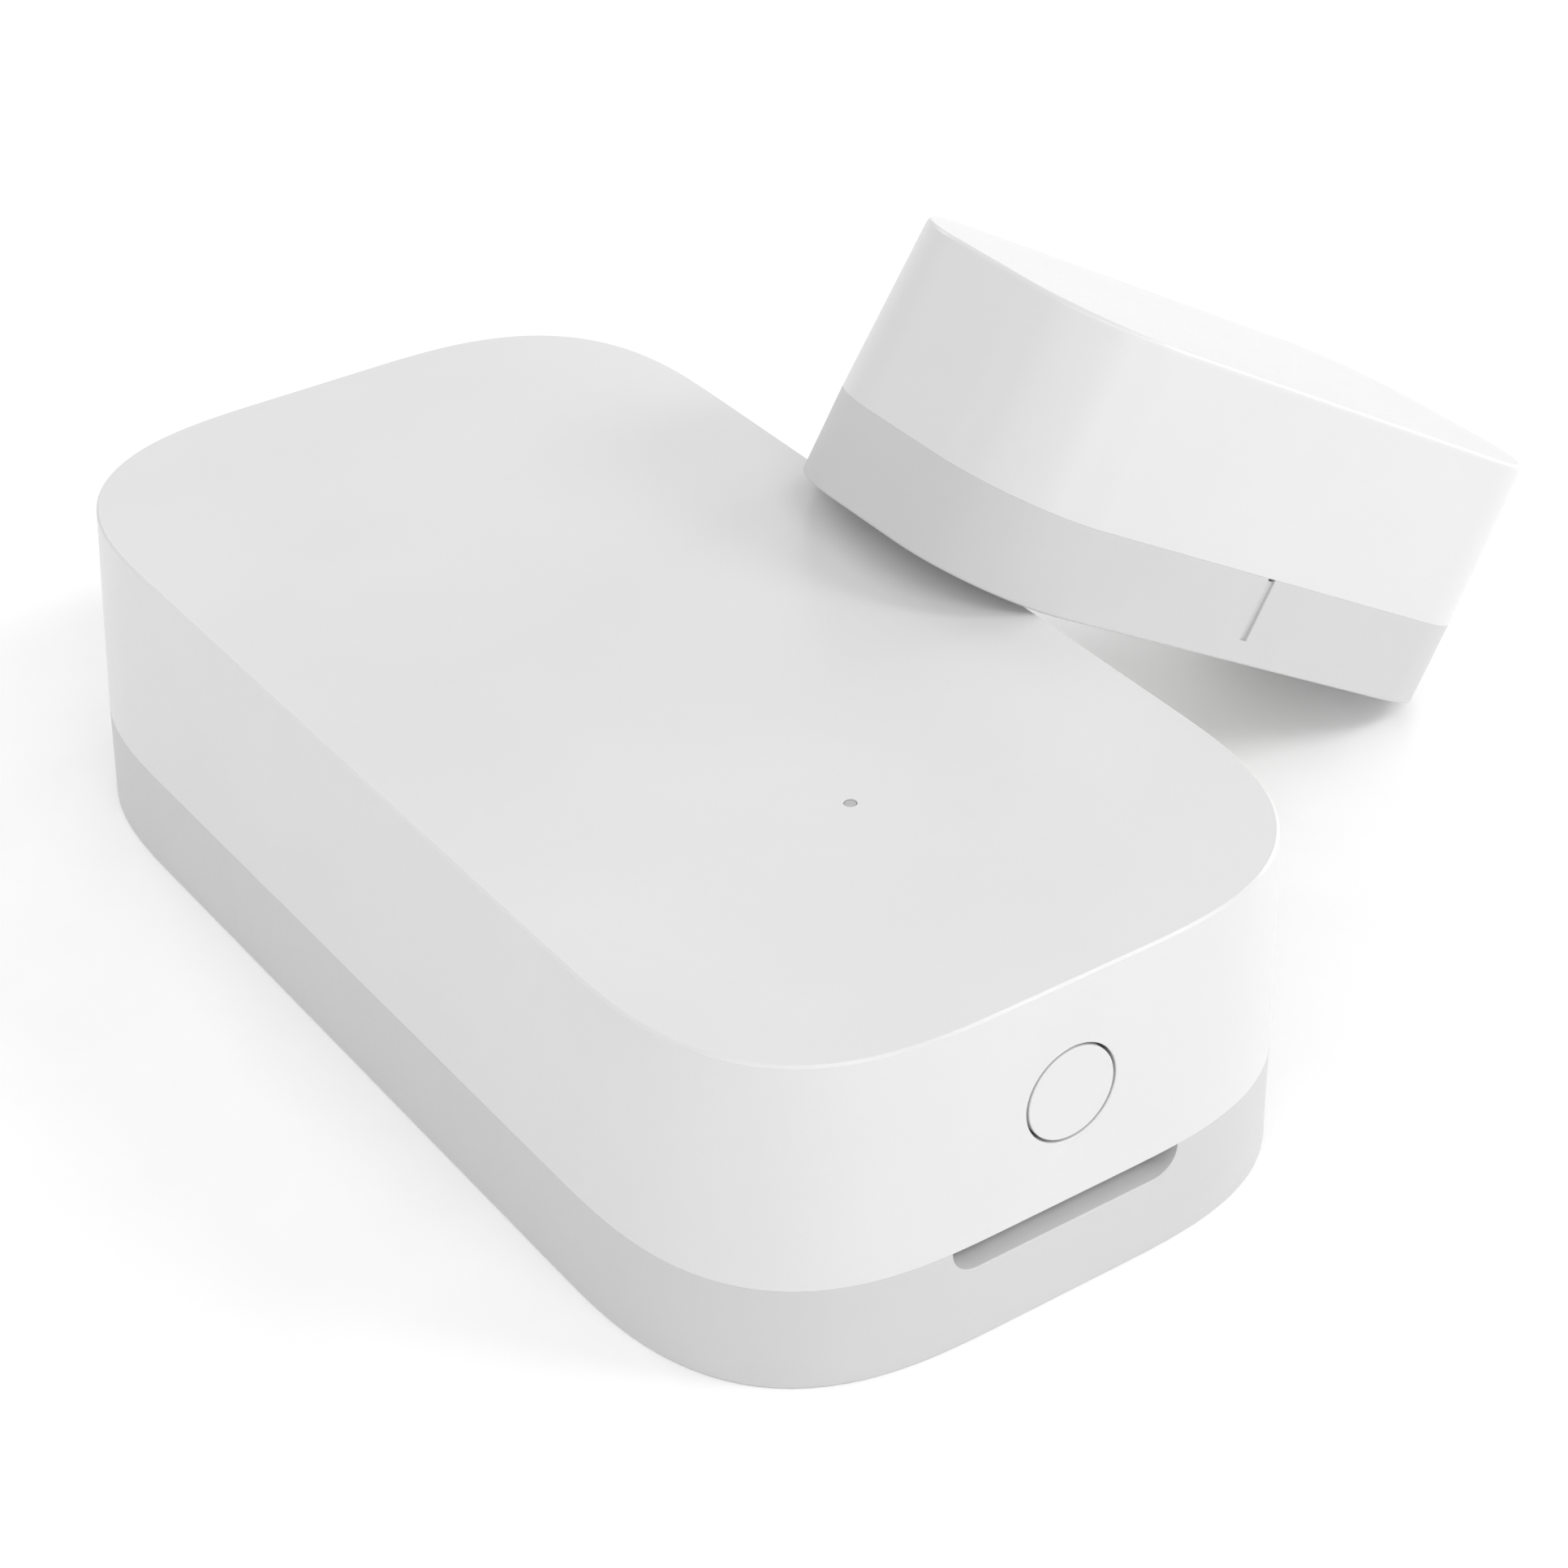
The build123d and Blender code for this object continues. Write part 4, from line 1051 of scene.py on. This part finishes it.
def add_cell():
    """Coin cell: stamped can, nylon gasket and stepped lid."""
    can_low, can_high = box_mm("cell_can")
    lid_low, lid_high = box_mm("cell_lid")
    seal_low, seal_high = box_mm("cell_gasket")
    centre = centre_of(can_low, can_high)
    can = turned(cell_can_profile(can_low, can_high, (can_high.x - can_low.x) / 2), centre, 128)
    lid = turned(cell_lid_profile(lid_low, lid_high, (lid_high.x - lid_low.x) / 2), centre, 128)
    outer = (seal_high.x - seal_low.x) / 2
    inner = (lid_high.x - lid_low.x) / 2
    radii = [0.03, 0.08, 0.08, 0.03]
    seal = turned_ring(inner, outer, seal_low.z, seal_high.z, radii, centre, 128)
    piece("cell_cup", [can], "housing", NICKEL, ["cell_can"])
    piece("cell_seal", [seal], "housing", NYLON, ["cell_gasket"])
    piece("cell_cover", [lid], "housing", NICKEL, ["cell_lid"])


CARRIED = {  # the CAD nodes that keep their own shape, with their finishes
    "antenna_trace": GOLD, "switch_body": BLACK_PLASTIC, "switch_plunger": BLACK_PLASTIC,
    "switch_frame": STEEL, "switch_dome": STEEL,
    "cell_core": POWDER, "positive_clip": STEEL, "negative_contact": SPRING,
}


# -------- magnet unit, drawn flat
MAGNET_X = 24.9
MAGNET_Y = 11.25
MAGNET_TOP = 8.86
MAGNET_SEAM = 2.96
MAGNET_CORNER = 3.98
MAGNET_BASE_DRAFT = 0.042
MAGNET_CAP_DRAFT = 0.255
MAGNET_CEILING = MAGNET_TOP - WALL
MAGNET_LIP_TOP = 4.2
MAGNET_LIP_INSET = MAGNET_BASE_DRAFT + WALL + 0.15
MAGNET_BAY_INSET = MAGNET_LIP_INSET + 0.8
MAGNET_TOP_EDGE = 0.17
FOOT_EDGE = 0.07
BAR = Vector((17.0, 5.4, 4.0))
BAR_TOP = FLOOR + BAR.z
MAGNET_TAPE = Vector((15.0, 5.5, TAPE_DEPTH))
MAGNET_TAPE_CORNER = 1.5
PRESSER_X = 5.5  # ribs under the ceiling that hold the magnet down
CRADLE_TOP = 4.6
CRADLE_WALL = 0.7
CRADLE_ROOM = 0.05
CRADLE_ARMS = (2.0, 1.2)


def magnet_place():
    """Where the flat-drawn magnet unit lies: its back mount's place and direction."""
    mount = next(mount for mount in frame["record"]["mounts"] if mount["name"] == "magnet_back")
    up = -Vector(mount["axis"]).normalized()
    across = Vector((0, 1, 0))
    turn = Matrix((across.cross(up), across, up)).transposed().to_4x4()
    return Matrix.Translation(Vector(mount["pos_m"])) @ turn


def magnet_ring(inset, z):
    return outline(MAGNET_X - 2 * inset, MAGNET_Y - 2 * inset, MAGNET_CORNER - inset, z)


def magnet_cap_mesh():
    """Drafted shell with the two ribs that press on the magnet."""
    share = (MAGNET_CEILING - MAGNET_SEAM) / (MAGNET_TOP - MAGNET_SEAM)
    low_inset = MAGNET_BASE_DRAFT + WALL
    top_inset = MAGNET_BASE_DRAFT + MAGNET_CAP_DRAFT
    profile = soften([
        (low_inset + MAGNET_CAP_DRAFT * share + 1.2, MAGNET_CEILING),
        (low_inset + MAGNET_CAP_DRAFT * share, MAGNET_CEILING), (low_inset, MAGNET_SEAM),
        (MAGNET_BASE_DRAFT, MAGNET_SEAM), (top_inset, MAGNET_TOP), (top_inset + 1.2, MAGNET_TOP),
    ], [INNER_EDGE, SEAM_EDGE, SEAM_EDGE, MAGNET_TOP_EDGE], steps=7)
    mesh = mesh_of([loft([magnet_ring(inset, z) for inset, z in profile])])
    for x in (-PRESSER_X, PRESSER_X):
        presser = slab((x - 0.4, -2, BAR_TOP), (x + 0.4, 2, MAGNET_CEILING + 0.3), 0.08)
        mesh = combine(mesh, "UNION", [presser])
    return mesh


def cradle_bracket(side_x, side_y):
    """Corner bracket of the cradle round the bar magnet."""
    inner_x, inner_y = BAR.x / 2 + CRADLE_ROOM, BAR.y / 2 + CRADLE_ROOM
    outer_x, outer_y = inner_x + CRADLE_WALL, inner_y + CRADLE_WALL
    arm_x, arm_y = CRADLE_ARMS
    line = [
        (inner_x - arm_x, inner_y), (inner_x, inner_y), (inner_x, inner_y - arm_y),
        (outer_x, inner_y - arm_y), (outer_x, outer_y), (inner_x - arm_x, outer_y),
    ]
    return loft([[(side_x * x, side_y * y, z) for x, y in line] for z in (FLOOR - ROOT, CRADLE_TOP)])


def magnet_base_mesh():
    """Drafted lower cover: lip, tape recess, cradle for the magnet, and alignment line."""
    profile = soften([
        (MAGNET_BAY_INSET + 0.8, FLOOR), (MAGNET_BAY_INSET, FLOOR), (MAGNET_BAY_INSET, MAGNET_LIP_TOP),
        (MAGNET_LIP_INSET, MAGNET_LIP_TOP), (MAGNET_LIP_INSET, MAGNET_SEAM),
        (MAGNET_BASE_DRAFT, MAGNET_SEAM), (0, 0), (1.0, 0),
    ], [INNER_EDGE, 0.15, 0.15, 0.05, SEAM_EDGE, FOOT_EDGE], steps=5)
    rings = [magnet_ring(inset, z) for inset, z in profile]
    recess = MAGNET_TAPE + Vector((2 * RECESS_ROOM, 2 * RECESS_ROOM, 0))
    for grow, z in ((0.03, 0), (0, 0.03), (0, TAPE_DEPTH), (-0.4, TAPE_DEPTH)):
        corner = MAGNET_TAPE_CORNER + RECESS_ROOM + grow
        rings.append(outline(recess.x + 2 * grow, recess.y + 2 * grow, corner, z))
    mesh = mesh_of([loft(rings)])
    for side_x in (-1, 1):
        for side_y in (-1, 1):
            mesh = combine(mesh, "UNION", [cradle_bracket(side_x, side_y)])
    points, faces = mark_cutter(MAGNET_Y / 2 - MAGNET_BASE_DRAFT, MARK_FOOT, MAGNET_SEAM)
    return combine(mesh, "DIFFERENCE", [([(y, -x, z) for x, y, z in points], faces)])


def add_magnet_unit():
    place = magnet_place()
    cap, base = magnet_cap_mesh(), magnet_base_mesh()
    piece("magnet_shell", cap, "magnet_unit", CAP_PLASTIC, ["magnet_cap"], place)
    piece("magnet_foot", base, "magnet_unit", BASE_PLASTIC, ["magnet_base"], place)
    bar = slab((-BAR.x / 2, -BAR.y / 2, FLOOR), (BAR.x / 2, BAR.y / 2, BAR_TOP), 0.25, 0.3)
    piece("magnet_bar", [bar], "magnet_unit", FERRITE, ["bar_magnet"], place)
    low = Vector((-MAGNET_TAPE.x / 2, -MAGNET_TAPE.y / 2, 0))
    core, skin = tape_shells(low, low + MAGNET_TAPE, MAGNET_TAPE_CORNER, None)
    piece("magnet_tape_carrier", [core], "magnet_unit", CARRIER, ["magnet_tape"], place)
    piece("magnet_tape_liner", [skin], "magnet_unit", LINER, (), place)


# -------- light and floor
WORLD_STRENGTH = 0.5
FLOOR_HALF = 1.5
FLOOR_GLOW = 0.045  # the photo's floor is lit to a clean white
LIGHT_AIM = Vector((0.004, 0, 0.004))
LIGHT_DISTANCE = 0.5
LIGHTS = [  # name, azimuth, elevation, size, watts
    ("front_low", 0, 8, (0.22, 0.22), 0.28), ("upper_right", 46, 39, (0.13, 0.13), 0.48),
    ("corner_low", 45, 8, (0.22, 0.22), 0.09), ("right_low", 90, 8, (0.22, 0.22), 0.85),
    ("upper_front", -5, 52, (0.26, 0.08), 0.42), ("back_right", 135, 15, (0.22, 0.22), 0.24),
    ("back", 180, 30, (0.22, 0.22), 0.42), ("back_left", -128, 36, (0.30, 0.30), 0.22),
    ("front_left", -60, 50, (0.30, 0.30), 0.50),
]


def area_light(name, azimuth, elevation, size, power):
    """Soft rectangular light at a place round the object, turned towards it."""
    data = bpy.data.lights.new(name, "AREA")
    data.shape = "RECTANGLE"
    data.size, data.size_y = size
    data.energy = power
    lamp = new_object(name, data)
    lamp.location = LIGHT_AIM + LIGHT_DISTANCE * direction(azimuth, elevation)
    lamp.rotation_euler = (LIGHT_AIM - lamp.location).to_track_quat("-Z", "Y").to_euler()


def add_world():
    world = bpy.data.worlds.new("studio")
    bpy.context.scene.world = world
    world.use_nodes = True
    set_inputs(world.node_tree.nodes["Background"], Color=(1, 1, 1, 1), Strength=WORLD_STRENGTH)


def add_floor():
    mesh = bpy.data.meshes.new("floor")
    signs = ((-1, -1), (1, -1), (1, 1), (-1, 1))
    corners = [(x * FLOOR_HALF, y * FLOOR_HALF, 0) for x, y in signs]
    mesh.from_pydata(corners, [], [(0, 1, 2, 3)])
    floor = new_object("floor", mesh)
    paper = Surface("floor_paper", 0.9, Emission_Color=(1, 1, 1, 1), Emission_Strength=FLOOR_GLOW)
    paper.colours(paper.noise(4.0), grey(0.94), grey(0.96))
    mesh.materials.append(paper.material)


add_camera()
bpy.context.scene.view_settings.view_transform = "Standard"
add_world()
add_floor()
for light in LIGHTS:
    area_light(*light)
add_sensor_covers()
add_board()
add_reed_switch()
add_cell()
for node, material in CARRIED.items():
    carry(node, material)
add_magnet_unit()
